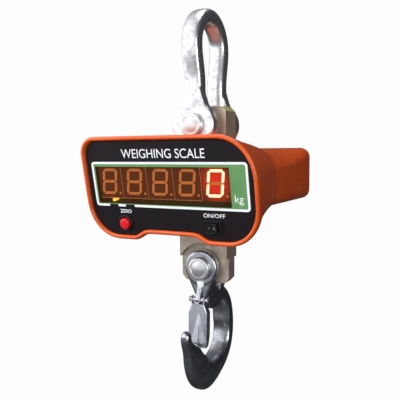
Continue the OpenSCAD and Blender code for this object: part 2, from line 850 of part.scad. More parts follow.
module pin_spacers() {
    color(STEEL) translate([0, 0, shackle_z]) {
        for (s = [-1, 1]) translate([0, s*(jaw/2 + cell_t/2 + spacer_play)/2, 0]) difference() {
            h = (jaw - cell_t)/2 - spacer_play;
            rod_y(shackle_pin_r + 5, -h/2, h/2);
            rod_y(shackle_pin_r + 0.2, -h, h);
        }
        washer(shackle_pin_r, shackle_back);
    }
}

module shackle_cotter() {
    color(STEEL) translate([0, 0, shackle_z]) cotter(shackle_pin_r, shackle_back);
}

// ---- Hook ----
ear_in = lug_t/2 + ear_gap;
ear_out = ear_in + ear_t;
crotch_z = hook_z - cell_bottom - crotch_gap;
block_low = 28;
// How far the metal rises into the bowl at its lowest point
bowl_fill = 5;
hook_power = 0.54;
shank_w = 20;
tongue_w = 7;
tongue_r = 4.2;

// Inner and outer radius of the hook about the bowl centre at angle a below the back (+Y)
function hook_in(a) = bowl_r + 13*ease((-12 - a)/48) + 21*ease((a - 176)/20)
    - bowl_fill*ease((a - 20)/60)*ease((172 - a)/26);
function hook_out(a) = bowl_r + back_t + 3*ease((-20 - a)/60) - 3*ease((a - 20)/60)
    + 5*ease((a - 62)/45)*ease((176 - a)/45) + 6.5*ease((a - 172)/24);

// Half width of the hook at angle a, at its inner face and at its outer face
function in_hw(a) = hook_w/2 - (hook_w - shank_w)/2*ease((-30 - a)/40)
    - (hook_w/2 - tip_r + 0.6)*ease((a - 150)/44);
function out_hw(a) = hook_rim_w/2 + (shank_w/2 - hook_rim_w/2 - 1)*ease((10 - a)/70)
    - (hook_rim_w/2 - 5.8)*ease((a - 170)/24);

// Rounded wedge section of the hook on the ray at angle a
function hook_ring(a) = [for (k = [0:22.5:337.5])
    let (mid = (hook_in(a) + hook_out(a))/2, half = (hook_out(a) - hook_in(a))/2,
         u = spow(cos(k), hook_power), w = in_hw(a) + (out_hw(a) - in_hw(a))*(u + 1)/2,
         r = mid + half*u)
    [w*spow(sin(k), hook_power), r*cos(a), bowl_z - r*sin(a)]];

tip_a = 196;
tip_mid = (hook_in(tip_a) + hook_out(tip_a))/2;

module hook_forging() {
    color(STEEL) difference() {
        union() {
            skin([for (a = [tip_a:-7.1:-88]) hook_ring(a)]);
            translate([0, tip_mid*cos(tip_a), bowl_z - tip_mid*sin(tip_a)]) sphere(tip_r);
            for (s = [-1, 1]) translate([0, s*(ear_in + ear_out)/2, hook_z]) rod_y(ear_r, -ear_t/2, ear_t/2);
            clevis_web(-ear_out, -ear_in, tongue_w/2 + 2);
            clevis_web(ear_in, ear_out, shank_w/2 - 1);
            clevis_block();
            latch_tongue();
        }
        translate([0, 0, hook_z]) rod_y(hook_pin_r + 0.3, -ear_out - 1, ear_out + 1);
        translate([0, -latch_fwd, latch_z]) rod_x(latch_pin_r + 0.02, -tongue_w, tongue_w);
    }
}

// Plate of an ear that narrows from the eye down to half width w
module clevis_web(y0, y1, w) {
    low = crotch_z - block_low/2 - hook_z;
    translate([0, y1, hook_z]) rotate([90, 0, 0]) linear_extrude(y1 - y0)
        polygon([[-ear_r*0.97, -ear_r*0.25], [ear_r*0.97, -ear_r*0.25], [w, low], [-w, low]]);
}

// Block below the lug that joins both ears to the shank
module clevis_block() {
    rotate([90, 0, 90]) translate([0, 0, -shank_w/2 + 1]) linear_extrude(shank_w - 2) polygon([
        [-ear_in - 5, crotch_z], [ear_in, crotch_z], [ear_out, crotch_z - 1],
        [ear_out + 6, crotch_z - block_low*0.6], [ear_in, crotch_z - block_low],
        [-ear_in + 2, crotch_z - block_low], [-ear_in - 7, crotch_z - block_low/2]]);
}

// Narrow tongue that carries the latch pin in front of the shank
module latch_tongue() {
    translate([0, -latch_fwd, latch_z]) rod_x(tongue_r, -tongue_w/2, tongue_w/2);
    rotate([90, 0, 90]) translate([0, 0, -tongue_w/2]) linear_extrude(tongue_w) polygon([
        [-latch_fwd - tongue_r, latch_z], [-latch_fwd + tongue_r, latch_z], [-ear_in - 4, crotch_z - 6],
        [-ear_in - 4, crotch_z + 8], [-ear_out, crotch_z + 8]]);
}

module hook_pin() {
    color(STEEL) translate([0, 0, hook_z]) headed_pin(hook_pin_r, -ear_out - 0.2, ear_out);
}

module hook_cotter() {
    color(STEEL) translate([0, 0, hook_z]) {
        cotter(hook_pin_r, ear_out);
        washer(hook_pin_r, ear_out);
    }
}

// ---- Latch ----
rivet_r = 3.2;
rivet_t = 2.2;
tab_in = 7.4;
tab_out = tab_in + latch_t;
latch_tilt = 3;
web_front = 2.8;
flange_d = 9;
shoulder_top = -6;
shoulder_low = -15;

// Places its children at the latch pin, turned to the latch's rest angle
module at_latch() {
    translate([0, -latch_fwd, latch_z]) rotate([-latch_tilt, 0, 0]) children();
}

module latch_pin() {
    end = latch_w/2 + 0.8;
    color(STEEL) translate([0, -latch_fwd, latch_z]) {
        rod_x(latch_pin_r, -end, end);
        rod_x(rivet_r, -end, -end + rivet_t);
        rod_x(rivet_r, end - rivet_t, end);
    }
}

// Side plate from half width x0, drawn in Y and Z
module latch_side(x0, points) {
    for (s = [0, 1]) mirror([s, 0, 0]) translate([x0, 0, 0]) rotate([90, 0, 90]) linear_extrude(latch_t)
        polygon(points);
}

module latch_plate() {
    w = latch_w/2;
    color([0.70, 0.73, 0.78]) at_latch() difference() {
        union() {
            // tabs round the pin, then the sloping shoulders, then the long flanges
            for (s = [0, 1]) mirror([s, 0, 0]) {
                rod_x(4.4, tab_in, tab_out);
                hull() {
                    translate([tab_in, -web_front, shoulder_top - 1]) cube([latch_t, 7.2, 1]);
                    translate([w - latch_t, -web_front, shoulder_low]) cube([latch_t, flange_d, 1]);
                }
            }
            latch_side(tab_in, [[-web_front, shoulder_top], [4.4, shoulder_top], [4.4, 0], [-4.4 + 1.6, 0]]);
            latch_side(w - latch_t, [[-web_front, -latch_len + 2], [flange_d - web_front, shoulder_low + 0.5],
                [-web_front, shoulder_low + 0.5]]);
            latch_side(w - latch_t, [[-web_front, -latch_len + 2], [-web_front + 5, -latch_len],
                [flange_d - web_front, -latch_len + 14], [flange_d - web_front, shoulder_low + 0.5]]);
            translate([0, -web_front + latch_t, 0]) rotate([90, 0, 0]) linear_extrude(latch_t) polygon([
                [-tab_out, shoulder_top + 1], [tab_out, shoulder_top + 1], [tab_out, shoulder_top],
                [w, shoulder_low],
                [w, -latch_len + 2], [w - 3, -latch_len], [-w + 3, -latch_len], [-w, -latch_len + 2],
                [-w, shoulder_low], [-tab_out, shoulder_top]]);
        }
        rod_x(latch_pin_r + pin_play, -w, w);
    }
}

module latch_spring() {
    wire = 0.55;
    color(STEEL) translate([0, -latch_fwd, latch_z]) for (s = [-1, 1]) {
        for (i = [0:1]) translate([s*(tongue_w/2 + 1 + i*1.15), 0, 0]) rotate([0, 90, 0])
            rotate_extrude() translate([latch_pin_r + 0.7, 0]) circle(wire, $fn = 16);
        translate([s*(tongue_w/2 + 2.15), 0, 0]) rotate([-4, 0, 0]) translate([0, 0.2, -14])
            cylinder(r = wire, h = 11.4);
    }
}

housing();
front_plate();
front_overlay();
plate_screws();
display_window();
window_seal();
display_board();
digit_1();
digit_2();
digit_3();
digit_4();
digit_5();
segments_1();
segments_2();
segments_3();
segments_4();
segments_5();
status_lamps();
zero_switch();
zero_spring();
zero_cap();
rocker_frame();
rocker_cap();
board_spacers();
board_screws();
main_board();
battery();
battery_strap();
load_cell();
gauge_covers();
upper_bush();
lower_bush();
upper_seal();
lower_seal();
clamp_brackets();
clamp_bolts();
rear_cover();
rear_seal();
cover_screws();
charge_socket();
shackle_bow();
shackle_pin();
pin_spacers();
shackle_cotter();
hook_forging();
hook_pin();
hook_cotter();
latch_pin();
latch_spring();
latch_plate();
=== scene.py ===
# %% [markdown]
# # A crane scale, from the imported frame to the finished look
# The frame is the engineering model: every part is in its true place and size, in metres, with +Z up
# the load line and the display towards -Y. This notebook keeps that frame fixed and builds the surfaces
# that the eye sees round it. Shapes below are worked out in millimetres and scaled once, as each mesh
# is made, so that the numbers read as they would on a drawing.

# %% Load the frame
import json
import math

import bmesh
import bpy
import numpy as np
from mathutils import Matrix, Vector


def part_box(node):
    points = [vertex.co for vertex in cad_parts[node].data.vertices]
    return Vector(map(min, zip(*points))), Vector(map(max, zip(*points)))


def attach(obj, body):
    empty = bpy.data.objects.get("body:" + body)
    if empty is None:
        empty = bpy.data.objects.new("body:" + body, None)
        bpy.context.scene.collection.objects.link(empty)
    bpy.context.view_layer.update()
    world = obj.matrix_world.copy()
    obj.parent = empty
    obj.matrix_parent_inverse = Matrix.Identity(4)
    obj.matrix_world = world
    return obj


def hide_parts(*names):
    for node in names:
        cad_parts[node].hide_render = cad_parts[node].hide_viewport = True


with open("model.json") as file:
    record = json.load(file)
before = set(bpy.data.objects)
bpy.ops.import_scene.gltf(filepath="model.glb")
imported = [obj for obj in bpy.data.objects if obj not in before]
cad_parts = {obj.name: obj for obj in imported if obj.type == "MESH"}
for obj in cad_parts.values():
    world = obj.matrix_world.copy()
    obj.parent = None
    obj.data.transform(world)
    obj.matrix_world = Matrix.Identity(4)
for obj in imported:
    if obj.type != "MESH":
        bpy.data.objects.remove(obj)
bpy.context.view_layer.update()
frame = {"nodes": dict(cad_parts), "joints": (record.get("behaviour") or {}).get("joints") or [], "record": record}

MM = 0.001
print("nodes in the frame:", len(frame["nodes"]))

# %% [markdown]
# ## Reading places from the frame
# A drawing has datums, and so does this notebook: the two pin axes, the latch pin and the panel's own
# plane are read from the frame once, and every surface is placed from them. The panel leans forward,
# so it gets its own axes: x across, `up` along the panel and `out` towards the reader.

# %% Datums
def corners(node):
    """Lowest and highest corner of a node, in millimetres, as two arrays."""
    low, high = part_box(node)
    return np.array(low) / MM, np.array(high) / MM


def centre(node):
    """Middle of a node's box in millimetres."""
    low, high = corners(node)
    return (low + high) / 2


joint_axes = {j["name"]: np.array(j["axis"], float) for j in frame["joints"]}
PANEL_OUT = -joint_axes["zero_press"]
TILT = math.asin(-PANEL_OUT[2])
PANEL_UP = np.array([0, -math.sin(TILT), math.cos(TILT)])
WINDOW_MID = 1.4
panel_origin = centre("display_window") + PANEL_OUT * WINDOW_MID
panel_origin[0] = 0
shackle_z = centre("shackle_pin")[2]
hook_z = centre("hook_pin")[2]
latch_y, latch_z = centre("latch_pin")[1:]
print("panel origin", panel_origin.round(2), "pins at", round(shackle_z, 1), round(hook_z, 1))


def on_panel(x, up, out):
    """Points of the panel: origin + x across + up along the panel + out towards the reader."""
    x, up, out = np.broadcast_arrays(*(np.asarray(v, float) for v in (x, up, out)))
    return (panel_origin + x[..., None] * np.array([1.0, 0, 0])
            + up[..., None] * PANEL_UP + out[..., None] * PANEL_OUT)


# %% [markdown]
# ## Camera and light
# A hanging scale is seen here through a 50 mm lens in front of white paper. The key light is a softbox
# up and to the left, with a weaker one overhead and a fill on the right. Metal only shows what it
# mirrors, so the world is a studio gradient for reflections and plain near-white for the camera. A
# Light Path node tells the two apart. Metal doesn't mirror the key light, whose square reflection
# would burn out.

# %% Camera
CAMERA_PLACE = (0.30698, -0.61266, -0.1476)
CAMERA_TURN, CAMERA_DROP, CAMERA_ROLL = 27.37, 5.49, -0.65
camera_data = bpy.data.cameras.new("camera")
camera_data.lens = 50.016
camera_data.sensor_width = 36.0
camera_data.shift_x = -0.0009
camera_data.shift_y = 0.0043
camera = bpy.data.objects.new("camera", camera_data)
camera.location = CAMERA_PLACE
camera.rotation_euler = (
    Matrix.Rotation(math.radians(CAMERA_TURN), 3, "Z")
    @ Matrix.Rotation(math.radians(90 - CAMERA_DROP), 3, "X")
    @ Matrix.Rotation(math.radians(CAMERA_ROLL), 3, "Z")
).to_euler()
bpy.context.scene.collection.objects.link(camera)
bpy.context.scene.camera = camera
bpy.context.scene.view_settings.view_transform = "Standard"

# %% Colour and node helpers
def linear(hex_code, alpha=1.0):
    """Linear colour of an sRGB hex code: each channel through the sRGB curve."""
    srgb = [int(hex_code[i:i + 2], 16) / 255 for i in (1, 3, 5)]
    return (*[c / 12.92 if c <= 0.04045 else ((c + 0.055) / 1.055) ** 2.4 for c in srgb], alpha)


def add_node(tree, kind, inputs=None, **settings):
    """Adds one node with its settings; inputs maps a socket to a value or to another node's output."""
    node = tree.nodes.new(kind)
    for name, value in settings.items():
        setattr(node, name, value)
    for socket, value in (inputs or {}).items():
        if isinstance(value, bpy.types.NodeSocket):
            tree.links.new(value, node.inputs[socket])
        else:
            node.inputs[socket].default_value = value
    return node


def colour_ramp(node, stops):
    """Sets the stops of a colour ramp from (position, colour) pairs."""
    elements = node.color_ramp.elements
    while len(elements) < len(stops):
        elements.new(0.5)
    for element, (position, colour) in zip(elements, stops):
        element.position = position
        element.color = colour
    return node


# %% Studio
world = bpy.data.worlds.new("studio")
bpy.context.scene.world = world
world.use_nodes = True
tree = world.node_tree
tree.nodes.clear()
direction = add_node(tree, "ShaderNodeTexCoord").outputs["Generated"]
split = add_node(tree, "ShaderNodeSeparateXYZ", {0: direction})
towards_light = 0.0
for axis, weight in (("X", -0.62), ("Y", -0.55), ("Z", 0.05)):
    towards_light = add_node(tree, "ShaderNodeMath", {
        0: split.outputs[axis], 1: weight, 2: towards_light}, operation="MULTIPLY_ADD").outputs[0]
level = add_node(tree, "ShaderNodeMapRange", {"Value": towards_light, "From Min": -0.9, "From Max": 0.9})
studio = colour_ramp(
    add_node(tree, "ShaderNodeValToRGB", {0: level.outputs[0]}),
    [(0.0, (0.02, 0.02, 0.022, 1)), (0.36, (0.05, 0.05, 0.055, 1)), (0.56, (0.32, 0.32, 0.34, 1)),
     (0.78, (1.5, 1.5, 1.52, 1)), (1.0, (2.4, 2.4, 2.44, 1))])
paper = add_node(tree, "ShaderNodeBackground", {"Color": linear("#FDFDFD"), "Strength": 1.0})
room = add_node(tree, "ShaderNodeBackground", {"Color": studio.outputs["Color"], "Strength": 0.75})
seen = add_node(tree, "ShaderNodeLightPath").outputs["Is Camera Ray"]
mixed = add_node(tree, "ShaderNodeMixShader", {0: seen, 1: room.outputs[0], 2: paper.outputs[0]})
add_node(tree, "ShaderNodeOutputWorld", {"Surface": mixed.outputs[0]})

AIM = Vector((0, -0.03, -0.2))


def softbox(name, place, size, watts, mirrored):
    """A rectangular light at place, turned to face the middle of the scale; metal mirrors it or not."""
    data = bpy.data.lights.new(name, "AREA")
    data.shape = "RECTANGLE"
    data.size, data.size_y = size
    data.energy = watts
    light = bpy.data.objects.new(name, data)
    light.location = place
    light.rotation_euler = (AIM - Vector(place)).to_track_quat("-Z", "Y").to_euler()
    light.visible_glossy = mirrored
    bpy.context.scene.collection.objects.link(light)


softbox("key_softbox", (-0.75, -1.15, 0.55), (0.7, 0.9), 22, mirrored=False)
softbox("top_softbox", (0.1, 0.25, 1.1), (0.9, 0.7), 8, mirrored=True)
softbox("side_fill", (1.2, -1.1, -0.1), (0.8, 0.8), 11, mirrored=True)

# %% Mesh helpers
def grid_quads(rows, columns, close_rows=False, close_columns=True):
    """Quads of a rows by columns grid of points, joined end to end where it closes."""
    r = np.arange(rows if close_rows else rows - 1)
    c = np.arange(columns if close_columns else columns - 1)
    r, c = np.meshgrid(r, c, indexing="ij")
    r2, c2 = (r + 1) % rows, (c + 1) % columns
    quads = np.stack([r * columns + c, r * columns + c2, r2 * columns + c2, r2 * columns + c], -1)
    return quads.reshape(-1, 4)


def make_mesh(name, points, faces):
    """A mesh from points in millimetres and faces, with its doubles merged and its faces outwards."""
    mesh = bpy.data.meshes.new(name)
    mesh.from_pydata(np.asarray(points, float) * MM, [], [list(map(int, f)) for f in faces])
    shape = bmesh.new()
    shape.from_mesh(mesh)
    bmesh.ops.remove_doubles(shape, verts=shape.verts, dist=1e-6)
    bmesh.ops.recalc_face_normals(shape, faces=shape.faces)
    shape.to_mesh(mesh)
    shape.free()
    return mesh


def loft(name, rings, ring_of_rings=False):
    """Closed skin through rings (m, n, 3); the end rings are capped unless the rings close on themselves."""
    rings = np.asarray(rings, float)
    m, n = rings.shape[:2]
    faces = list(grid_quads(m, n, close_rows=ring_of_rings))
    if not ring_of_rings:
        faces += [list(range(n)), [(m - 1) * n + i for i in range(n)]]
    return make_mesh(name, rings.reshape(-1, 3), faces)


def revolve(name, profile, origin, axis, across, sides=64, loop=False):
    """Solid of a profile of (radius, height) turned about an axis through origin. A looped profile
    makes a ring."""
    profile = np.asarray(profile, float)
    axis, across = np.asarray(axis, float), np.asarray(across, float)
    third = np.cross(axis, across)
    turn = np.linspace(0, 2 * np.pi, sides, endpoint=False)
    spoke = np.cos(turn)[:, None] * across + np.sin(turn)[:, None] * third
    radius = np.maximum(profile[:, 0], 1e-4)
    rings = np.asarray(origin) + radius[:, None, None] * spoke + profile[:, 1][:, None, None] * axis
    return loft(name, rings, ring_of_rings=loop)


def rod(radius, start, end):
    """Profile of a plain cylinder."""
    return [(0, start), (radius, start), (radius, end), (0, end)]


def turned_y(name, profile, z, sides=96, loop=False):
    """A profile of (radius, y) turned about the line along Y at height z."""
    return revolve(name, profile, [0, 0, z], [0, 1, 0], [1, 0, 0], sides, loop)


def turned_on_panel(name, profile, x, up, sides=72, loop=False, out=0):
    """A profile of (radius, height above `out`) turned about the panel's normal."""
    return revolve(name, profile, on_panel(x, up, out), PANEL_OUT, [1, 0, 0], sides, loop)


def turned_on_latch_axis(name, profile, sides):
    """A profile of (radius, x) turned about the axis of the latch pin."""
    return revolve(name, profile, [0, latch_y, latch_z], [1, 0, 0], [0, 1, 0], sides)


def tube(name, path, radius, sides):
    """Round tube along a path, on frames carried without twist."""
    path = np.asarray(path, float)
    along = np.gradient(path, axis=0)
    along /= np.linalg.norm(along, axis=1)[:, None]
    side = np.cross(along[0], [0.31, 0.52, 0.79])
    frames = []
    for step in along:
        side = side - step * (side @ step)
        side = side / np.linalg.norm(side)
        frames.append(side)
    frames = np.array(frames)
    other = np.cross(along, frames)
    turn = np.linspace(0, 2 * np.pi, sides, endpoint=False)
    ring = np.cos(turn)[None, :, None] * frames[:, None] + np.sin(turn)[None, :, None] * other[:, None]
    return loft(name, path[:, None] + ring * radius)


def join(name, meshes):
    """One mesh from several."""
    shape = bmesh.new()
    for mesh in meshes:
        shape.from_mesh(mesh)
    joined = bpy.data.meshes.new(name)
    shape.to_mesh(joined)
    shape.free()
    return joined


def modified(mesh, modifiers):
    """The mesh after a list of (modifier type, settings) has been worked out on it."""
    scratch = bpy.data.objects.new("scratch", mesh)
    bpy.context.scene.collection.objects.link(scratch)
    for kind, settings in modifiers:
        modifier = scratch.modifiers.new(kind.lower(), kind)
        for setting, value in settings.items():
            setattr(modifier, setting, value)
    bpy.context.view_layer.update()
    result = bpy.data.meshes.new_from_object(scratch.evaluated_get(bpy.context.evaluated_depsgraph_get()))
    bpy.data.objects.remove(scratch)
    return result


def cut(mesh, *tools):
    """The mesh with each tool mesh cut away."""
    for tool in tools:
        holder = bpy.data.objects.new("tool", tool)
        bpy.context.scene.collection.objects.link(holder)
        mesh = modified(mesh, [("BOOLEAN", {"operation": "DIFFERENCE", "object": holder, "solver": "EXACT"})])
        bpy.data.objects.remove(holder)
    return mesh


def forged(mesh, voxel, smoothing):
    """Joins overlapping lumps into one skin on a voxel grid and rounds their meeting lines as a die does."""
    return modified(mesh, [
        ("REMESH", {"mode": "VOXEL", "voxel_size": voxel * MM}),
        ("SMOOTH", {"factor": 0.5, "iterations": smoothing})])


def box_mesh(low, high):
    """A closed box between two corners, for cutting."""
    low, high = np.minimum(low, high), np.maximum(low, high)
    ends = [[low[0], low[1]], [high[0], low[1]], [high[0], high[1]], [low[0], high[1]]]
    return loft("box", [[[x, y, z] for x, y in ends] for z in (low[2], high[2])])


def piece(name, mesh, material, body, replaces=(), smooth=32, bevel=0.0):
    """Puts a finished mesh into the scene, rides it on its body and hides the frame parts it replaces."""
    mesh.name = name
    mesh.materials.clear()
    mesh.materials.append(material)
    mesh.shade_smooth()
    mesh.set_sharp_from_angle(angle=math.radians(smooth))
    thing = bpy.data.objects.new(name, mesh)
    bpy.context.scene.collection.objects.link(thing)
    if bevel:
        modifier = thing.modifiers.new("edge", "BEVEL")
        modifier.width = bevel * MM
        modifier.segments = 2
        modifier.limit_method = "ANGLE"
        modifier.angle_limit = math.radians(38)
        modifier.harden_normals = True
    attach(thing, body)
    if replaces:
        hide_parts(*replaces)
    print(f"{name}: {len(mesh.polygons)} faces")
    return thing


# %% [markdown]
# ## The finishes
# Powder coat is a thermoplastic baked on as dust: even colour, a soft gloss and the faint ripple known
# as orange peel. Zinc plate on forged steel is a thin bright metal over a rough skin, so it mirrors the
# room in patches and turns blue or yellow where the passivation is thicker. The printed film is matt
# polyester. Each finish below is one Principled shader with noise on Object coordinates, whose scale
# comes from a real size in millimetres; anything too fine to be seen is drawn coarser.

# %% One builder for a finish with grain
def finish(name, light, dark, patch_mm, rough, metallic=0.0, grain_mm=0.6, relief_mm=0.0, stretch=(1, 1, 1),
           **shader):
    """Principled surface: colour wanders from dark to light over patch_mm, roughness inside a range,
    and a fine bump of relief_mm with grains of grain_mm."""
    material = bpy.data.materials.new(name)
    material.use_nodes = True
    tree = material.node_tree
    tree.nodes.clear()
    place = add_node(tree, "ShaderNodeTexCoord").outputs["Object"]
    place = add_node(tree, "ShaderNodeMapping", {"Vector": place, "Scale": stretch}).outputs[0]
    patches = add_node(tree, "ShaderNodeTexNoise", {
        "Vector": place, "Scale": 1 / (patch_mm * MM), "Detail": 5.0, "Roughness": 0.6})
    colour = colour_ramp(add_node(tree, "ShaderNodeValToRGB", {0: patches.outputs[0]}),
                         [(0.36, linear(dark)), (0.64, linear(light))])
    fine = add_node(tree, "ShaderNodeTexNoise", {
        "Vector": place, "Scale": 1 / (grain_mm * MM), "Detail": 3.0})
    polish = add_node(tree, "ShaderNodeMapRange", {
        "Value": patches.outputs[0], "From Min": 0.3, "From Max": 0.7,
        "To Min": rough[1], "To Max": rough[0]})
    inputs = {"Base Color": colour.outputs[0], "Roughness": polish.outputs[0], "Metallic": metallic}
    if relief_mm:
        inputs["Normal"] = add_node(tree, "ShaderNodeBump", {
            "Height": fine.outputs[0], "Distance": relief_mm * MM, "Strength": 1.0}).outputs[0]
    shell = add_node(tree, "ShaderNodeBsdfPrincipled", {**inputs, **shader})
    add_node(tree, "ShaderNodeOutputMaterial", {"Surface": shell.outputs[0]})
    return material


def glow(hex_code, strength):
    """Shader settings of a surface that gives off light."""
    return {"Emission Color": linear(hex_code), "Emission Strength": strength}


# %% Plastics, paint and print
# Baked powder coat: even orange, soft gloss, orange peel about 1.3 mm across
powder_coat = finish("powder_coat_orange", "#D85A24", "#CA4C17", 60, (0.24, 0.32), grain_mm=1.3,
                     relief_mm=0.012, IOR=1.5, **{"Coat Weight": 0.25, "Coat Roughness": 0.12})
# Matt polyester film, printed black from behind, with a purple cast under soft light
film = finish("printed_film_black", "#150F14", "#100C10", 40, (0.45, 0.53), grain_mm=0.4, relief_mm=0.002,
              IOR=1.38)
ink_white = finish("screen_ink_white", "#E6EAF0", "#DCE1E8", 12, (0.4, 0.5))
ink_green = finish("screen_ink_green", "#5F8D58", "#578450", 20, (0.4, 0.5))
ink_grey = finish("screen_ink_grey", "#8C878C", "#7C777C", 12, (0.4, 0.5))
moulded_black = finish("moulded_black_plastic", "#191719", "#111012", 9, (0.3, 0.42), grain_mm=0.5,
                       relief_mm=0.006, IOR=1.46)
plate_black = finish("painted_plate_black", "#201D20", "#161416", 15, (0.5, 0.6), grain_mm=0.5,
                     relief_mm=0.004)
button_red = finish("moulded_red_cap", "#D8202A", "#C51A24", 8, (0.22, 0.3), grain_mm=0.5, relief_mm=0.003,
                    IOR=1.49)
rubber = finish("moulded_rubber", "#1B1A1A", "#121111", 8, (0.65, 0.8), grain_mm=0.5, relief_mm=0.01)
solder_mask = finish("solder_mask_green", "#1C6A3C", "#16552F", 5, (0.25, 0.4), grain_mm=1.5, relief_mm=0.02)
battery_case = finish("battery_case_grey", "#3C4148", "#30343A", 15, (0.4, 0.5), grain_mm=0.5, relief_mm=0.01)
# The brown digit faces give off a faint painted glow in place of the room light they catch behind the smoked
# window.
FACE_GLOW, FACE_STRENGTH = "#6A3418", 0.45
# Unlit segments: pale resin with a painted glow in place of the room light they catch.
unlit_resin_painted_glow = finish("unlit_segment_painted_glow", "#E08A44", "#CC7434", 6, (0.5, 0.6), **glow("#D27A3A", 0.75))
digit_face_painted_glow = finish("digit_face_brown_painted_glow", "#5C2F19", "#512813", 8, (0.5, 0.6), **glow(FACE_GLOW, FACE_STRENGTH))
lamp_lit = finish("indicator_lamp_lit", "#FFC070", "#FFB060", 4, (0.3, 0.4), **glow("#FFB040", 3.0))
# Painted highlight: the thin strips along the module edges give off light, as if light caught them.
module_edge_highlight = finish("painted_module_edge_highlight", "#9A6238", "#8A5630", 6, (0.5, 0.6), **glow("#B07040", 1.5))
lamp_dark = finish("indicator_lamp_unlit", "#6A2414", "#5A1E10", 4, (0.3, 0.4))

# %% Metals
# Zinc-plated forgings: bright, slightly blue metal over a scaled skin, mottled over 7 to 9 mm
zinc_forging = finish("zinc_plated_forging", "#F2F3F5", "#C6C8CC", 7, (0.22, 0.42), metallic=0.92,
                      grain_mm=1.6, relief_mm=0.045)
zinc_hook = finish("zinc_plated_hook", "#D2D5DC", "#9C9FA7", 9, (0.24, 0.36), metallic=0.98,
                   grain_mm=1.8, relief_mm=0.06)
zinc_latch = finish("zinc_plated_sheet", "#CCD0D8", "#B4BAC6", 14, (0.24, 0.36), metallic=0.9,
                    grain_mm=1.0, relief_mm=0.008)
zinc_bolt = finish("zinc_plated_turned", "#E2E3E5", "#CBCCCE", 7, (0.28, 0.4), metallic=0.75,
                   grain_mm=0.8, relief_mm=0.006)
nickel_cell = finish("nickel_plated_alloy", "#CDBFAE", "#B9AB9A", 22, (0.38, 0.48), metallic=0.6,
                     grain_mm=0.9, relief_mm=0.006, stretch=(1, 1, 2))
# Painted highlight, not a plating: pale yellow laid on the upper faces of the load cell's right side, where light
# falls on them.
side_highlight_paint = finish("painted_yellow_side_highlight", "#DCCF94", "#B9AE80", 9, (0.4, 0.5), metallic=0.3, grain_mm=0.9)
bronze = finish("sintered_bronze", "#B08A4E", "#94713B", 4, (0.35, 0.5), metallic=1.0, grain_mm=0.5,
                relief_mm=0.01)
print("finishes made:", len(bpy.data.materials))

# %% [markdown]
# ## The cast housing
# The real housing is a thin aluminium casting: a wide hooded head in front, which narrows to a crease
# and runs on as a lower, flat-topped box. It could be modelled by hand as a subdivision cage, but its
# outline obeys simple rules at every depth, so it is lofted. One function gives the outline at a
# depth; its sizes glide from station to station; the ring is then leaned with the panel at the front.

# %% Outline of the housing at one depth
LEFT_SHARE = np.array([0.52, 0.58])
STEPS = {"top": 22, "corner": 26, "side": 8, "foot": 20, "lobe": 10, "notch": 10, "floor": 10}


def superellipse(cx, cz, rx, rz, power, start, end, count):
    """Quarter of |x/rx|^n + |z/rz|^n = 1, from the start angle to the end angle."""
    a = np.radians(np.linspace(start, end, count))
    c, s = np.cos(a), np.sin(a)
    return np.stack([cx + rx * np.sign(c) * np.abs(c) ** (2 / power),
                     cz + rz * np.sign(s) * np.abs(s) ** (2 / power)], -1)


def line(a, b, count):
    """Evenly spaced points from a to b, without the last."""
    return np.linspace(a, b, count, endpoint=False)


def half_outline(hw, up, rx, rz, power, down, bx, bz, lobe, notch, depth):
    """Half of the outline: flat top, superellipse corner, side, round foot, lobe and half the notch."""
    return np.concatenate([
        line([0, up], [hw - rx, up], STEPS["top"]),
        superellipse(hw - rx, up - rz, rx, rz, power, 90, 0, STEPS["corner"]),
        line([hw, up - rz - 0.5], [hw, -down + bz + 0.5], STEPS["side"]),
        superellipse(hw - bx, -down + bz, bx, bz, 2, 0, -90, STEPS["foot"]),
        line([hw - bx - 0.5, -down], [lobe, -down], STEPS["lobe"]),
        line([lobe, -down], [notch, -depth], STEPS["notch"]),
        line([notch, -depth], [0, -depth], STEPS["floor"])])


def housing_outline(station, soften=5):
    """Whole outline at one station. The left top corner is tighter than the right one where the rim
    leans. Neighbouring points are averaged `soften` times, which rounds every angle."""
    lean, sizes = station[1], np.array(station[2:])
    half = half_outline(*sizes)
    sizes[2:4] *= 1 - lean * LEFT_SHARE
    left = half_outline(*sizes)
    mirror = np.concatenate([[[0, -sizes[-1]]], left[:0:-1] * [-1, 1]])
    whole = np.concatenate([half, mirror])
    for _ in range(soften):
        whole = (np.roll(whole, 1, 0) + 2 * whole + np.roll(whole, -1, 0)) / 4
    return whole


def inset(outline, amount):
    """The outline moved inwards by amount along its own normals."""
    along = np.roll(outline, -1, 0) - np.roll(outline, 1, 0)
    normal = np.stack([-along[:, 1], along[:, 0]], -1)
    normal /= np.linalg.norm(normal, axis=1)[:, None] + 1e-9
    return outline - normal * amount


# %% Stations from the rim to the back, and how they glide
HEAD_HALF, REAR_BACK = corners("housing")[1][:2]
RIM_Y = panel_origin[1] - 4
WAIST_Y = -12.0
WAIST_HALF = 93.0
UP, DOWN, SADDLE, FLOOR = 54.0, 65.0, 38.6, 28.5
NOTCH_DEPTH = DOWN - 8.3
WALL = 4.0


def head_half(share):
    """Half width part of the way from the waist (0) to the rim (1)."""
    return WAIST_HALF + share * (HEAD_HALF - WAIST_HALF)


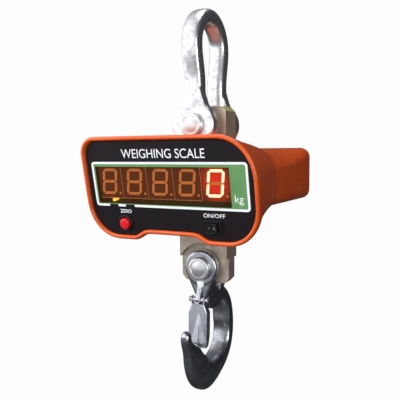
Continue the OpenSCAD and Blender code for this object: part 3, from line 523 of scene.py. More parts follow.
head_stations = np.array([
    # depth, lean, half width, up, corner x and z, power, down, foot x and z, lobe, notch, notch depth
    [RIM_Y, 1.0, HEAD_HALF, UP, 42, 48, 2, DOWN, 37.5, 42.5, 45, 31, NOTCH_DEPTH],
    [RIM_Y + 9, 0.9, head_half(0.97), UP - 0.5, 42, 47.5, 2, DOWN - 0.8, 37.5, 42, 45, 31, NOTCH_DEPTH - 0.3],
    [-82, 0.6, head_half(0.78), UP - 4, 37, 42, 2, DOWN - 10, 34, 33, 45, 31, NOTCH_DEPTH - 4],
    [-44, 0.15, head_half(0.33), UP - 10, 29, 32, 2, FLOOR + 7, 18, 16, 43, 29, FLOOR + 6],
    [WAIST_Y, 0.0, WAIST_HALF, SADDLE + 1, 27, 27, 2, FLOOR + 0.5, 13, 12, 42, 28, FLOOR + 0.5]])
rear_stations = np.array([
    [WAIST_Y + 1.5, 0, WAIST_HALF - 1, SADDLE, 26, 25, 1.5, FLOOR, 12, 12, 42, 28, FLOOR],
    [60, 0, 94.75, SADDLE, 22, 20, 1.5, FLOOR, 12, 12, 42, 28, FLOOR],
    [REAR_BACK, 0, 96.5, SADDLE, 13, 12, 2, FLOOR, 12, 12, 42, 28, FLOOR]])


def glide(stations, count):
    """Stations in between, on cubic curves whose slopes are those of the neighbouring stations."""
    y = stations[:, 0]
    slope = np.gradient(stations, y, axis=0)
    at = np.linspace(y[0], y[-1], count)
    i = np.clip(np.searchsorted(y, at, side="right") - 1, 0, len(y) - 2)
    gap = (y[i + 1] - y[i])[:, None]
    t = ((at - y[i])[:, None]) / gap
    return ((2 * t**3 - 3 * t**2 + 1) * stations[i] + (t**3 - 2 * t**2 + t) * gap * slope[i]
            + (3 * t**2 - 2 * t**3) * stations[i + 1] + (t**3 - t**2) * gap * slope[i + 1])


def ring_in_space(station, outline, back=0.0):
    """Leans a flat outline with the panel and sets it at its depth, `back` behind it along the normal."""
    y, lean = station[0], station[1]
    x, s = outline[:, 0], outline[:, 1]
    points = np.stack([x, y - lean * s * math.sin(TILT),
                       panel_origin[2] + s * (1 - lean * (1 - math.cos(TILT)))], -1)
    return points - PANEL_OUT * back


# %% The shell: outer skin, rolled lip, inner skin
LIP_STEPS = 12
rim = head_stations[0]
head_rows = glide(head_stations, 46)
rear_rows = glide(rear_stations, 24)
rows = np.concatenate([head_rows[2:], rear_rows])
outer = [ring_in_space(row, housing_outline(row)) for row in rows[::-1]]
rim_outline = housing_outline(rim)
bead = WALL / 2 + 0.4
lip = []
for turn in np.radians(np.linspace(0, 180, LIP_STEPS)):
    across = bead * (1 - math.cos(turn))
    behind = bead * (1 - math.sin(turn))
    lip.append(ring_in_space(rim, inset(rim_outline, across), behind))
inner = [ring_in_space(row, inset(housing_outline(row), 2 * bead if row[0] < RIM_Y + 14 else WALL))
         for row in rows]
shell = loft("housing", outer + lip + inner, ring_of_rings=True)
print("housing shell:", len(shell.vertices), "points")

# %% Openings in the shell
cell_low, cell_high = corners("load_cell")
SLOT_GAP, PAST = 3.5, 8.0
slot = box_mesh([cell_low[0] - SLOT_GAP, cell_low[1] - SLOT_GAP, panel_origin[2] - FLOOR - PAST],
                [cell_high[0] + SLOT_GAP, cell_high[1] + SLOT_GAP, panel_origin[2] + SADDLE + PAST])
SCOOP_R, SCOOP_REACH = 29.5, 50.0
scoop = turned_y("scoop", rod(SCOOP_R, -SCOOP_REACH, SCOOP_REACH), shackle_z, sides=120)
shell = cut(shell, slot, scoop)
piece("housing_casting", shell, powder_coat, "scale_body", ["housing"], smooth=28)

# %% [markdown]
# ## The rear cover
# The back of the box is closed by a cast plate of the same outline. Its edge is rounded over 1.6 mm,
# so it is lofted as a pillow: the outline is inset along a quarter circle towards the back.

# %% Rear cover
cover_low, cover_high = corners("rear_cover")
COVER_EDGE, COVER_LIP = 1.6, 3.0
back_outline = housing_outline(rear_stations[-1])
cover_rings = [(cover_low[1], COVER_LIP), (cover_low[1], 0.0)]
for turn in np.radians(np.linspace(0, 90, 7)):
    cover_rings.append((cover_high[1] - COVER_EDGE * (1 - math.sin(turn)), COVER_EDGE * (1 - math.cos(turn))))
cover = loft("cover", [np.insert(inset(back_outline, inward) + [0, panel_origin[2]], 1, y, axis=1)
                       for y, inward in cover_rings])
piece("rear_cover_plate", cover, powder_coat, "scale_body", ["rear_cover"])

# %% [markdown]
# ## The printed panel
# The panel is a black film with its frame line, captions and green border printed on it. Printing has
# no thickness that shows, so each ink is a thin flat mesh that lies 0.06 mm proud of the film. A frame
# line is the area between two rounded rectangles, and the captions are Blender's own font made a mesh.

# %% Flat print helpers
INK_PROUD = 0.06


def rounded_rectangle(x0, x1, s0, s1, radius, count=8):
    """Points round a rectangle with round corners, anticlockwise from its lower right corner."""
    mids = [(x1 - radius, s0 + radius, -90), (x1 - radius, s1 - radius, 0),
            (x0 + radius, s1 - radius, 90), (x0 + radius, s0 + radius, 180)]
    parts = []
    for x, s, start in mids:
        a = np.radians(start + np.linspace(0, 90, count))
        parts.append(np.stack([x + radius * np.cos(a), s + radius * np.sin(a)], -1))
    return np.concatenate(parts)


def round_frame(half_x, half_s, radius):
    """Rounded rectangle about the panel's middle."""
    return rounded_rectangle(-half_x, half_x, -half_s, half_s, radius)


def printed_band(name, outside, inside):
    """Flat band between two outlines of the same number of points."""
    rings = [on_panel(o[:, 0], o[:, 1], INK_PROUD) for o in (outside, inside)]
    return make_flat(name, np.concatenate(rings), grid_quads(2, len(outside)))


def printed_patch(name, outline, proud):
    """Flat patch inside an outline."""
    return make_flat(name, on_panel(outline[:, 0], outline[:, 1], proud), [list(range(len(outline)))])


def make_flat(name, points, faces):
    """A flat mesh on the panel whose faces look out of it."""
    mesh = make_mesh(name, points, faces)
    if mesh.polygons[0].normal.dot(Vector(PANEL_OUT)) < 0:
        mesh.flip_normals()
    return mesh


def caption(words, x, s, height, width=None, bold=0.0, proud=INK_PROUD):
    """A word as a flat mesh, with its capitals `height` tall, centred at x and with its foot at s."""
    curve = bpy.data.curves.new("caption", "FONT")
    curve.body = words
    curve.offset = bold
    holder = bpy.data.objects.new("caption", curve)
    bpy.context.scene.collection.objects.link(holder)
    bpy.context.view_layer.update()
    mesh = bpy.data.meshes.new_from_object(holder.evaluated_get(bpy.context.evaluated_depsgraph_get()))
    bpy.data.objects.remove(holder)
    flat = np.zeros(len(mesh.vertices) * 3)
    mesh.vertices.foreach_get("co", flat)
    flat = flat.reshape(-1, 3)
    low, high = flat.min(0), flat.max(0)
    tall = height / (high[1] - low[1])
    wide = width / (high[0] - low[0]) if width else tall
    points = on_panel(x + (flat[:, 0] - (low[0] + high[0]) / 2) * wide,
                      s + (flat[:, 1] - low[1]) * tall, proud)
    mesh.vertices.foreach_set("co", (points * MM).ravel())
    mesh.update()
    return mesh


# %% Inks
window_low, window_high = corners("display_window")
WINDOW_X = (window_low[0] + window_high[0]) / 2
WINDOW_W = window_high[0] - window_low[0]
WINDOW_H = 45.0
FRAME_X, FRAME_S, FRAME_LINE = 96.3, 25.8, 2.5
WINDOW_LAP, WINDOW_TOP_LAP = 0.2, 2.2
frame_inside = round_frame(FRAME_X - FRAME_LINE, FRAME_S - FRAME_LINE, 2)
white_parts = [printed_band("frame_line", round_frame(FRAME_X, FRAME_S, 4), frame_inside),
               caption("WEIGHING SCALE", -1.5, 30, 10.0, width=103),
               caption("ZERO", -56.8, -33.2, 4.2, width=15, bold=0.012),
               caption("ON/OFF", 54.5, -33.9, 4.4, width=25.5, bold=0.008),
               caption("kg", 84.6, -19.0, 10.6, proud=2 * INK_PROUD)]
green_border = printed_band("green_border", frame_inside, rounded_rectangle(
    WINDOW_X - WINDOW_W / 2 + WINDOW_LAP, WINDOW_X + WINDOW_W / 2 - WINDOW_LAP,
    -WINDOW_H / 2 + WINDOW_LAP, WINDOW_H / 2 - WINDOW_TOP_LAP, 1))
piece("print_white", join("white", white_parts), ink_white, "scale_body")
piece("print_green", green_border, ink_green, "scale_body")
TAB_XS, TAB_HALF, TAB_LOW, TAB_HIGH = (-72.0, -50.0), 6.0, -FRAME_S - 2.4, -FRAME_S + 2.6
tabs = [printed_patch("tab", rounded_rectangle(x - TAB_HALF, x + TAB_HALF, TAB_LOW, TAB_HIGH, 1),
                      2 * INK_PROUD) for x in TAB_XS]
piece("print_tabs", join("tabs", tabs), film, "scale_body")

# %% [markdown]
# ## Window and digits
# Behind a smoked acrylic window stand five seven-segment modules. Unlit segments are pale resin that
# the window turns to amber; they, the digit faces and the module edges also give off a faint painted
# light in place of the room light they catch. The last digit is lit: its bars are nearly white and the
# resin round them glows red. The window is a Principled surface that is part transparent, so the digits show
# through.

# %% Smoked window
smoke = bpy.data.materials.new("smoked_acrylic")
smoke.use_nodes = True
shader = smoke.node_tree.nodes["Principled BSDF"]
shader.inputs["Base Color"].default_value = linear("#4A2412")
shader.inputs["Roughness"].default_value = 0.12
shader.inputs["IOR"].default_value = 1.49
shader.inputs["Alpha"].default_value = 0.30

# %% Lit digit
DIGIT_S = 2.5
DIGIT_W, DIGIT_H, STROKE, SLANT, SEGMENT_GAP = 19.8, 30.0, 3.1, math.radians(8.5), 0.35
DIGIT_OUT = -3.2
DOT_GAP, DOT_R, BAR_DEEP = 2.6, 1.4, 1.0
digit_mid = centre("digit_5")[0]
reach = np.array([(DIGIT_W - STROKE) / 2, (DIGIT_H - STROKE) / 2])
BARS = {"a": ((-1, 1), (1, 1)), "b": ((1, 1), (1, 0)), "c": ((1, 0), (1, -1)), "d": ((-1, -1), (1, -1)),
        "e": ((-1, 0), (-1, -1)), "f": ((-1, 1), (-1, 0)), "g": ((-1, 0), (1, 0))}


def segment_bar(name):
    """One six-sided bar of the lit digit as a thin closed solid, leaned over by the slant."""
    a, b = (np.array(end) * reach for end in BARS[name])
    u = (b - a) / np.linalg.norm(b - a)
    v = np.array([-u[1], u[0]])
    h, g = STROKE / 2, SEGMENT_GAP
    flat = np.array([a + u * g, a + u * (g + h) + v * h, b - u * (g + h) + v * h,
                     b - u * g, b - u * (g + h) - v * h, a + u * (g + h) - v * h])
    x = digit_mid + flat[:, 0] + flat[:, 1] * math.tan(SLANT)
    return loft("bar", [on_panel(x, DIGIT_S + flat[:, 1], out) for out in (DIGIT_OUT - BAR_DEEP, DIGIT_OUT)])


lit_resin = finish("lit_segment_resin", "#FFF6DC", "#FFEFC8", 6, (0.5, 0.6),
                   **glow("#FFE9B0", 2.2))
piece("lit_segments", join("lit", [segment_bar(n) for n in "abcdef"]), lit_resin, "scale_body",
      ["segments_5"])
dot = turned_on_panel("dot", rod(DOT_R, 0, BAR_DEEP), digit_mid + DIGIT_W / 2 + DOT_GAP, DIGIT_S - reach[1],
                      24, out=DIGIT_OUT - BAR_DEEP)
piece("unlit_middle_bar", join("unlit", [segment_bar("g"), dot]), unlit_resin_painted_glow, "scale_body")

# %% Glow round what is lit, and painted highlights along the modules' edges
def glowing(name, middle, half_x, half_s, near, strength, colour):
    """The digit face with light spilled over it, which fades from the near share of an oval to its rim."""
    material = digit_face_painted_glow.copy()
    material.name = name
    tree = material.node_tree
    shader = next(n for n in tree.nodes if n.type == "BSDF_PRINCIPLED")
    away = add_node(tree, "ShaderNodeVectorMath", {
        0: add_node(tree, "ShaderNodeTexCoord").outputs["Object"], 1: middle * MM}, operation="SUBTRACT")
    oval = add_node(tree, "ShaderNodeVectorMath", {
        0: away.outputs[0], 1: tuple(1 / (half * MM) for half in (half_x, half_s, half_s))},
        operation="MULTIPLY")
    share = add_node(tree, "ShaderNodeVectorMath", {0: oval.outputs[0]}, operation="LENGTH").outputs["Value"]
    fall = {"Value": share, "From Min": near, "From Max": 1.0, "To Max": 0.0}
    spill = add_node(tree, "ShaderNodeMapRange", {**fall, "To Min": strength},
                     interpolation_type="SMOOTHSTEP")
    tint = add_node(tree, "ShaderNodeMapRange", {**fall, "To Min": 1.0})
    mix = add_node(tree, "ShaderNodeMix", {
        0: tint.outputs[0], "A": linear(FACE_GLOW), "B": linear(colour)}, data_type="RGBA")
    power = add_node(tree, "ShaderNodeMath", {0: spill.outputs[0], 1: FACE_STRENGTH}, operation="ADD")
    tree.links.new(mix.outputs["Result"], shader.inputs["Emission Color"])
    tree.links.new(power.outputs[0], shader.inputs["Emission Strength"])
    return material


lamp_low, lamp_high = corners("status_lamps")
lamp_up = (centre("status_lamps") - panel_origin) @ PANEL_UP
LAMP_R, LAMP_OUT, LAMP_LEN = 1.9, -3.6, 8.8
lamp_left = lamp_low[0] + LAMP_R
lit_glow = glowing("digit_face_lit", on_panel(digit_mid, DIGIT_S, DIGIT_OUT), 22, 27, 0.3, 0.85, "#FF2410")
lamp_spill = glowing("digit_face_by_lamp", on_panel(lamp_left, lamp_up, DIGIT_OUT), 9, 6, 0.1, 1.6, "#FF3010")

# Thin strips of painted highlight along the modules' edges.
MODULE_EDGE, MODULE_H = 0.5, 39.0
edge_parts = []
for i in range(1, 5):
    module_low, module_high = corners(f"digit_{i}")
    x, low_s = module_high[0], DIGIT_S - MODULE_H / 2
    for x0, x1, s1 in ((x - MODULE_EDGE / 2, x + MODULE_EDGE / 2, low_s + MODULE_H),
                       (module_low[0], x, low_s + MODULE_EDGE)):
        strip = np.array([[x0, low_s], [x1, low_s], [x1, s1], [x0, s1]])
        edge_parts.append(printed_patch("edge", strip, DIGIT_OUT))
piece("module_edge_highlights", join("edges", edge_parts), module_edge_highlight, "scale_body")

LAMP_PROFILE = [(0, -LAMP_LEN), (LAMP_R, -LAMP_LEN), (LAMP_R, -LAMP_R)] + [
    (LAMP_R * math.cos(a), LAMP_R * (math.sin(a) - 1)) for a in np.radians(np.linspace(0, 90, 8))[1:]]
for name, x, resin in (("indicator_lit", lamp_left, lamp_lit),
                       ("indicator_unlit", lamp_high[0] - LAMP_R, lamp_dark)):
    lamp = turned_on_panel("lamp", LAMP_PROFILE, x, lamp_up, 32, out=LAMP_OUT)
    piece(name, lamp, resin, "scale_body", ["status_lamps"], smooth=50)

# %% [markdown]
# ## Finishes for the parts that keep their shape
# A part that is flat, hidden or already true in the frame keeps its mesh and takes a finish. Assigning
# to its material slots is all that is needed, since every finish reads Object coordinates.

# %% Dress the carried-over nodes
def dress(material, *nodes):
    """Gives carried-over nodes a finish."""
    for node in nodes:
        mesh = frame["nodes"][node].data
        mesh.materials.clear()
        mesh.materials.append(material)


dress(film, "front_overlay")
dress(plate_black, "front_plate")
dress(smoke, "display_window")
dress(digit_face_painted_glow, "digit_2", "digit_3", "digit_4")
dress(lamp_spill, "digit_1")
dress(lit_glow, "digit_5")
dress(unlit_resin_painted_glow, "segments_1", "segments_2", "segments_3", "segments_4")
dress(rubber, "window_seal", "rear_seal", "upper_seal", "lower_seal")
dress(solder_mask, "display_board", "main_board")
dress(battery_case, "battery")
dress(zinc_bolt, "plate_screws", "board_spacers", "board_screws", "battery_strap", "gauge_covers",
      "clamp_brackets", "clamp_bolts", "zero_spring")
dress(bronze, "upper_bush", "lower_bush")

# %% [markdown]
# ## Button and rocker switch
# The zero button is a turned-looking moulded cap in a round bezel, so both are profiles turned about
# the panel's own normal. The power switch is a rocker: a frame snapped into the panel and a cap with
# two faces that meet in a shallow valley, tipped eight degrees about a pivot that runs up the panel.

# %% Zero button and its bezel
def panel_place(node):
    """Where a node's middle lies on the panel, as (across, up)."""
    offset = centre(node) - panel_origin
    return offset[0], offset @ PANEL_UP


def body_with(node):
    """The body that carries a node."""
    return next(b for b, nodes in frame["record"]["behaviour"]["bodies"].items() if node in nodes)


button_x, button_up = panel_place("zero_cap")
CAP_R, CAP_RISE, CAP_ROUND, SHELF = 6.4, 5.4, 1.7, -6.0
cap_arc = [(CAP_R - CAP_ROUND * (1 - math.cos(a)), CAP_RISE - 0.5 - CAP_ROUND * (1 - math.sin(a)))
           for a in np.radians(np.linspace(0, 84, 9))]
cap = turned_on_panel("cap", [(0, SHELF), (CAP_R, SHELF), *cap_arc, (3.0, CAP_RISE - 0.12), (0, CAP_RISE)],
                      button_x, button_up)
piece("zero_button_cap", cap, button_red, "zero_button", ["zero_cap"], smooth=50)
bezel = turned_on_panel("bezel", [
    (6.7, -14), (8.0, -14), (8.0, 0), (9.3, 0), (9.6, 0.35), (9.5, 1.1), (9.1, 1.55), (8.3, 1.6), (7.4, 1.3),
    (6.9, 0.7), (6.7, 0)], button_x, button_up, loop=True)
piece("zero_button_bezel", bezel, moulded_black, "scale_body", ["zero_switch"], smooth=45)

# %% Rocker frame
rocker_x, rocker_up = panel_place("rocker_frame")[0], panel_place("rocker_cap")[1]
FLANGE, HOLE = np.array([10.5, 7.5]), np.array([7.75, 5.45])


def frame_ring(half, radius, out):
    """Rounded rectangle of a half size about the rocker's middle, at a height out of the panel."""
    o = rounded_rectangle(rocker_x - half[0], rocker_x + half[0],
                          rocker_up - half[1], rocker_up + half[1], radius)
    return on_panel(o[:, 0], o[:, 1], out)


switch_frame = loft("frame", [
    frame_ring(FLANGE - 0.6, 1.2, -0.02), frame_ring(FLANGE, 1.5, 0.2), frame_ring(FLANGE, 1.5, 1.3),
    frame_ring(FLANGE - 0.5, 1.2, 2.0), frame_ring(HOLE + 0.5, 0.6, 2.0), frame_ring(HOLE, 0.4, 1.6),
    frame_ring(HOLE, 0.4, -12), frame_ring(HOLE + 1.2, 0.6, -12), frame_ring(HOLE + 1.2, 0.6, -0.02)],
    ring_of_rings=True)
piece("rocker_frame_moulding", switch_frame, moulded_black, "scale_body", ["rocker_frame"])

# %% Rocker cap and its marks
ROCKER_TIP, PIVOT_OUT, CAP_HALF, CAP_UP = math.radians(8), -1.0, 6.3, 5.1
VALLEY, CREST = 3.2, 4.6


def rocker_point(x, up, height):
    """A point of the cap, tipped about the pivot: x' = x cos - h sin, h' = x sin + h cos."""
    c, s = math.cos(ROCKER_TIP), math.sin(ROCKER_TIP)
    x, height = np.asarray(x, float), np.asarray(height, float)
    return on_panel(rocker_x + x * c - height * s, rocker_up + np.asarray(up, float),
                    PIVOT_OUT + x * s + height * c)


BELLY_X, BELLY_H = 7.0, 4.5
low_arc = np.radians(np.linspace(25, -205, 18))
cap_x = np.concatenate([[-CAP_HALF, 0, CAP_HALF], BELLY_X * np.cos(low_arc)])
cap_h = np.concatenate([[CREST, VALLEY, CREST], BELLY_H * np.sin(low_arc)])
cap = loft("cap", [rocker_point(cap_x, np.full(len(cap_x), s), cap_h) for s in (-CAP_UP, CAP_UP)])
piece("rocker_moulding", cap, moulded_black, "power_rocker", ["rocker_cap"], bevel=0.35)


def face_height(x):
    """Height of the cap's two sloping faces, with the ink just proud of them."""
    return VALLEY + (CREST - VALLEY) * np.abs(x) / CAP_HALF + INK_PROUD


DASH_IN, DASH_OUT, DASH_HALF = -2.4, -4.6, 0.3
dash = np.array([[DASH_OUT, -DASH_HALF], [DASH_IN, -DASH_HALF], [DASH_IN, DASH_HALF], [DASH_OUT, DASH_HALF]])
ring_turn = np.linspace(0, 2 * np.pi, 32, endpoint=False)
marks = [make_flat("dash", rocker_point(dash[:, 0], dash[:, 1], face_height(dash[:, 0])), [[0, 1, 2, 3]])]
CIRCLE_X, CIRCLE_SQUASH, CIRCLE_RADII = 3.3, 0.8, (1.45, 0.95)
circles = []
for r in CIRCLE_RADII:
    x, s = CIRCLE_X + CIRCLE_SQUASH * r * np.cos(ring_turn), r * np.sin(ring_turn)
    circles.append(rocker_point(x, s, face_height(x)))
marks.append(make_flat("circle", np.concatenate(circles), grid_quads(2, len(ring_turn))))
piece("rocker_marks", join("marks", marks), ink_grey, "power_rocker")

# %% [markdown]
# ## The load cell
# The load cell is a milled plate of nickel-plated alloy, and a machinist breaks every edge of it. Its
# shape in the frame is already true, so a copy of that mesh is welded, its flat faces are made whole
# and a Bevel modifier breaks the edges by half a millimetre, which is what catches the light.

# %% Welded copies with broken edges
def welded(node, flat_deg=0.6):
    """A copy of a node's mesh with its loose triangles welded and its flat faces made whole."""
    shape = bmesh.new()
    shape.from_mesh(frame["nodes"][node].data)
    bmesh.ops.remove_doubles(shape, verts=shape.verts, dist=2e-6)
    bmesh.ops.dissolve_limit(shape, angle_limit=math.radians(flat_deg), verts=shape.verts, edges=shape.edges)
    mesh = bpy.data.meshes.new(node)
    shape.to_mesh(mesh)
    shape.free()
    return mesh


cell_plate = piece("load_cell_plate", welded("load_cell"), nickel_cell, "scale_body", ["load_cell"],
                   bevel=0.5)
# The upper faces of the right side take the painted yellow highlight; lower down they keep the nickel.
cell_plate.data.materials.append(side_highlight_paint)
SIDE_HIGHLIGHT_IN, SIDE_HIGHLIGHT_DOWN = 8.0, 60.0
for face in cell_plate.data.polygons:
    on_edge = face.normal.x > 0.6 and face.center.x > (cell_high[0] - SIDE_HIGHLIGHT_IN) * MM
    if on_edge and face.center.z > (shackle_z - SIDE_HIGHLIGHT_DOWN) * MM:
        face.material_index = 1
piece("cover_screw_set", welded("cover_screws"), zinc_bolt, "scale_body", ["cover_screws"],
      bevel=0.25)

# %% [markdown]
# ## Pins, spacers and split pins
# Both pins are turned bars with a round head, a chamfer and a shallow ring left by the lathe. A split
# pin is one wire folded on itself: up one leg, round the eye, down the other, with its ends bent apart.

# %% Turned pins
PIN_HEAD_R, HEAD_T = 14.0, 6.0
SHACKLE_PIN_R, HOOK_PIN_R = 11.0, 10.0
SHACKLE_BORE_R, HOOK_BORE_R = 11.3, 10.3


def turned_pin(r, y0, y1, z):
    """Pin along Y with its head at y0: the face with its ring, the chamfer, the shank and a chamfered end."""
    profile = [(0, y0 + 0.15), (8.6, y0), (9.2, y0 + 0.45), (9.9, y0 + 0.45), (10.4, y0), (12.4, y0),
               (13.5, y0 + 0.5), (PIN_HEAD_R, y0 + 1.3), (PIN_HEAD_R, y0 + HEAD_T - 0.5),
               (PIN_HEAD_R - 0.5, y0 + HEAD_T), (r, y0 + HEAD_T), (r, y1 - 1.4), (r - 1.4, y1), (0, y1)]
    return turned_y("pin", profile, z)


pin_back = {}
for end, r, z in (("shackle", SHACKLE_PIN_R, shackle_z), ("hook", HOOK_PIN_R, hook_z)):
    pin_front, pin_back[end] = (corner[1] for corner in corners(end + "_pin"))
    piece(end + "_pin_turned", turned_pin(r, pin_front, pin_back[end], z), zinc_bolt,
          body_with(end + "_pin"), [end + "_pin"], smooth=40)
shackle_cotter_y = centre("shackle_cotter")[1]
hook_cotter_y = pin_back["hook"] - (pin_back["shackle"] - shackle_cotter_y)


# %% Washers, spacers and split pins
WASHER_EDGE = 0.4


def turned_washer(bore, rim, y0, y1, z):
    """Ring along Y with all four edges chamfered."""
    edge = WASHER_EDGE
    profile = [(bore + edge, y0), (rim - edge, y0), (rim, y0 + edge), (rim, y1 - edge), (rim - edge, y1),
               (bore + edge, y1), (bore, y1 - edge), (bore, y0 + edge)]
    return turned_y("washer", profile, z, sides=80, loop=True)


COTTER_WIRE, COTTER_LEG, COTTER_EYE_R = 0.85, 0.87, 2.6


def split_pin(r, y, z):
    """One wire: bent end, up the left leg, round the eye above the pin, down the right leg, bent end."""
    eye_mid = r + 4.5
    around = np.radians(np.linspace(235, -55, 25))
    left = [(-4.6, -r - 6.2), (-3.4, -r - 5.6), (-2.0, -r - 4.4), (-1.1, -r - 3.0),
            (-COTTER_LEG, -r - 1.5), (-COTTER_LEG, 0), (-COTTER_LEG, r)]
    eye = [(COTTER_EYE_R * math.cos(a), eye_mid + COTTER_EYE_R * math.sin(a)) for a in around]
    path = np.array(left + eye + [(-x, h) for x, h in left[::-1]])
    return tube("cotter", np.insert(path + [0, z], 1, y, axis=1), COTTER_WIRE, 12)


EYE_BACK, EAR_OUT = 38.0, 22.0
JAW_HALF, SPACER_IN = 23.5, 14.9
WASHER_BORE, WASHER_GAP, WASHER_BACK = 0.2, 0.2, 2.5
spacers = [turned_washer(SHACKLE_PIN_R + WASHER_BORE, rim, y0, y1, shackle_z)
           for rim, y0, y1 in ((16, SPACER_IN, JAW_HALF), (16, -JAW_HALF, -SPACER_IN),
                               (17, EYE_BACK + WASHER_GAP, EYE_BACK + WASHER_BACK))]
piece("shackle_spacers", join("spacers", spacers), zinc_bolt, body_with("pin_spacers"), ["pin_spacers"])
piece("shackle_split_pin", split_pin(SHACKLE_PIN_R, shackle_cotter_y, shackle_z), zinc_bolt,
      body_with("shackle_cotter"), ["shackle_cotter"], smooth=50)
hook_washer = turned_washer(HOOK_PIN_R + WASHER_BORE, 16, EAR_OUT + WASHER_GAP, EAR_OUT + WASHER_BACK, hook_z)
piece("hook_washer_and_split_pin", join("ring", [hook_washer, split_pin(HOOK_PIN_R, hook_cotter_y, hook_z)]),
      zinc_bolt, body_with("hook_cotter"), ["hook_cotter"], smooth=50)

# %% [markdown]
# ## The forged shackle
# A bow shackle starts as a round bar, which is bent, and its ends are flattened into eyes by a die. The
# bar is a superellipse carried along a path in the plane of the bow; eyes and the webs that feed them
# are added; then everything is remeshed as one skin and smoothed a little, so that the lumps flow into
# each other as hot metal does. A boolean of lumps alone would leave knife-sharp meeting lines.

# %% Shackle
BAR_R, BAR_HALF_W, BOW_R, BOW_MID = 9.0, 11.5, 36.0, -27.0
LEG_Y, LEG_SWING = 29.0, 46.0
EYE_R, WEB_IN = 27.5, 0.6


def ease(t):
    """Smooth step from 0 to 1."""
    t = np.clip(t, 0, 1)
    return t * t * (3 - 2 * t)


def signed_power(v, p):
    """|v| to the power p, with the sign of v."""
    return np.sign(v) * np.abs(v) ** p


def bow_line():
    """Centreline of the bow as (y, z): up one leg, half a circle over the crown, down the other leg."""
    t = np.linspace(0, 1, 26)
    up_y = LEG_Y + (BOW_R - LEG_Y) * ease(t)
    up_z = BOW_MID - LEG_SWING * (1 - t)
    foot = np.array([[LEG_Y, shackle_z + 0.68 * EYE_R], [LEG_Y, shackle_z + 0.85 * EYE_R]])
    leg = np.concatenate([foot[foot[:, 1] < up_z[0] - 2], np.stack([up_y, up_z], -1)])
    a = np.radians(np.linspace(0, 180, 60))[1:-1]
    crown = np.stack([BOW_R * np.cos(a), BOW_MID + BOW_R * np.sin(a)], -1)
    return np.concatenate([leg, crown, leg[::-1] * [-1, 1]])


def swept_bar(line, half_width, radius, power=0.6, sides=44):
    """Superellipse bar along a line in the YZ plane: x = w sin^p, and r cos^p along the line's normal."""
    along = np.gradient(line, axis=0)
    along /= np.linalg.norm(along, axis=1)[:, None]
    a = np.linspace(0, 2 * np.pi, sides, endpoint=False)
    across, out = half_width * signed_power(np.sin(a), power), radius * signed_power(np.cos(a), power)
    y = line[:, :1] + out * along[:, 1:]
    z = line[:, 1:] - out * along[:, :1]
    return loft("bar", np.stack([np.broadcast_to(across, y.shape), y, z], -1))


ALONG_X, ALONG_Y = 0, 1
DISC_EDGE = 1.6


def prism(outline, along, start, end):
    """An outline of (y, z) carried along X, or of (x, z) carried along Y."""
    return loft("prism", [np.insert(np.array(outline, float), along, at, axis=1) for at in (start, end)])


def disc_y(r, y0, y1, z):
    """Disc along Y with rounded edges."""
    edge = DISC_EDGE
    a = np.radians(np.linspace(0, 90, 6))
    low = [(r - edge * (1 - s), y0 + edge * (1 - c)) for s, c in zip(np.sin(a), np.cos(a))]
    high = [(r - edge * (1 - c), y1 - edge * (1 - s)) for s, c in zip(np.sin(a), np.cos(a))]
    return turned_y("disc", [(0, y0), *low, *high, (0, y1)], z)


def web_outline(r, low_share, reach, neck):
    """Outline of the web from an eye to its bar: tangent to the eye, hollowed towards the neck."""
    t = np.linspace(0, 1, 9)
    x = r * 0.86 + (neck - r * 0.86) * t ** 0.62
    z = r * low_share + (reach - r * low_share) * t ** 1.15
    return np.concatenate([np.stack([x, z], -1), np.stack([-x[::-1], z[::-1]], -1)])


lumps = [swept_bar(bow_line(), BAR_HALF_W, BAR_R)]
for side in (-1, 1):
    y0, y1 = sorted((side * JAW_HALF, side * EYE_BACK))
    lumps.append(disc_y(EYE_R, y0, y1, shackle_z))
    web = web_outline(EYE_R, 0.5, 1.5 * EYE_R, BAR_HALF_W - 1.2)
    lumps.append(prism(web + [0, shackle_z], ALONG_Y, y0 + WEB_IN, y1 - WEB_IN))
bow = forged(join("bow", lumps), voxel=1.1, smoothing=7)
SHACKLE_DRILL, HOOK_DRILL, LATCH_DRILL = 60.0, 40.0, 12.0
bore = turned_y("bore", rod(SHACKLE_BORE_R, -SHACKLE_DRILL, SHACKLE_DRILL), shackle_z)
piece("shackle_forging", cut(bow, bore), zinc_forging, "shackle", ["shackle_bow"], smooth=40)

# %% [markdown]
# ## The forged hook
# The hook's section changes all the way round: wide inside, where the sling bears, and narrow outside.
# Each section stands on a ray from the centre of the bowl, so the inner and outer radius and the two
# widths are functions of the ray's angle. Ears, neck and the tongue for the latch are added as lumps
# and forged into one skin, and the two holes are drilled last.

# %% Hook
BOWL_R, BACK_T, HOOK_W, HOOK_RIM_W, SHANK_W, TIP_R = 35.0, 29.0, 30.0, 12.0, 20.0, 6.4
BOWL_DROP, TIP_ANGLE = 91.0, 196.0
EAR_IN, EAR_R, CROTCH_DROP, BLOCK_LOW = 10.5, 21.5, 25.0, 28.0
BOWL_FILL, HOOK_POWER, TIP_RIM_W = 5.0, 0.54, 11.6
bowl_z = hook_z - BOWL_DROP
crotch_z = hook_z - CROTCH_DROP


def hook_radii(a):
    """Inner and outer radius about the bowl's centre on the ray at angle a, in degrees below the back."""
    inner = (BOWL_R + 13 * ease((-12 - a) / 48) + 21 * ease((a - 176) / 20)
             - BOWL_FILL * ease((a - 20) / 60) * ease((172 - a) / 26))
    outer = (BOWL_R + BACK_T + 3 * ease((-20 - a) / 60) - 3 * ease((a - 20) / 60)
             + 5 * ease((a - 62) / 45) * ease((176 - a) / 45) + 6.5 * ease((a - 172) / 24))
    return inner, outer


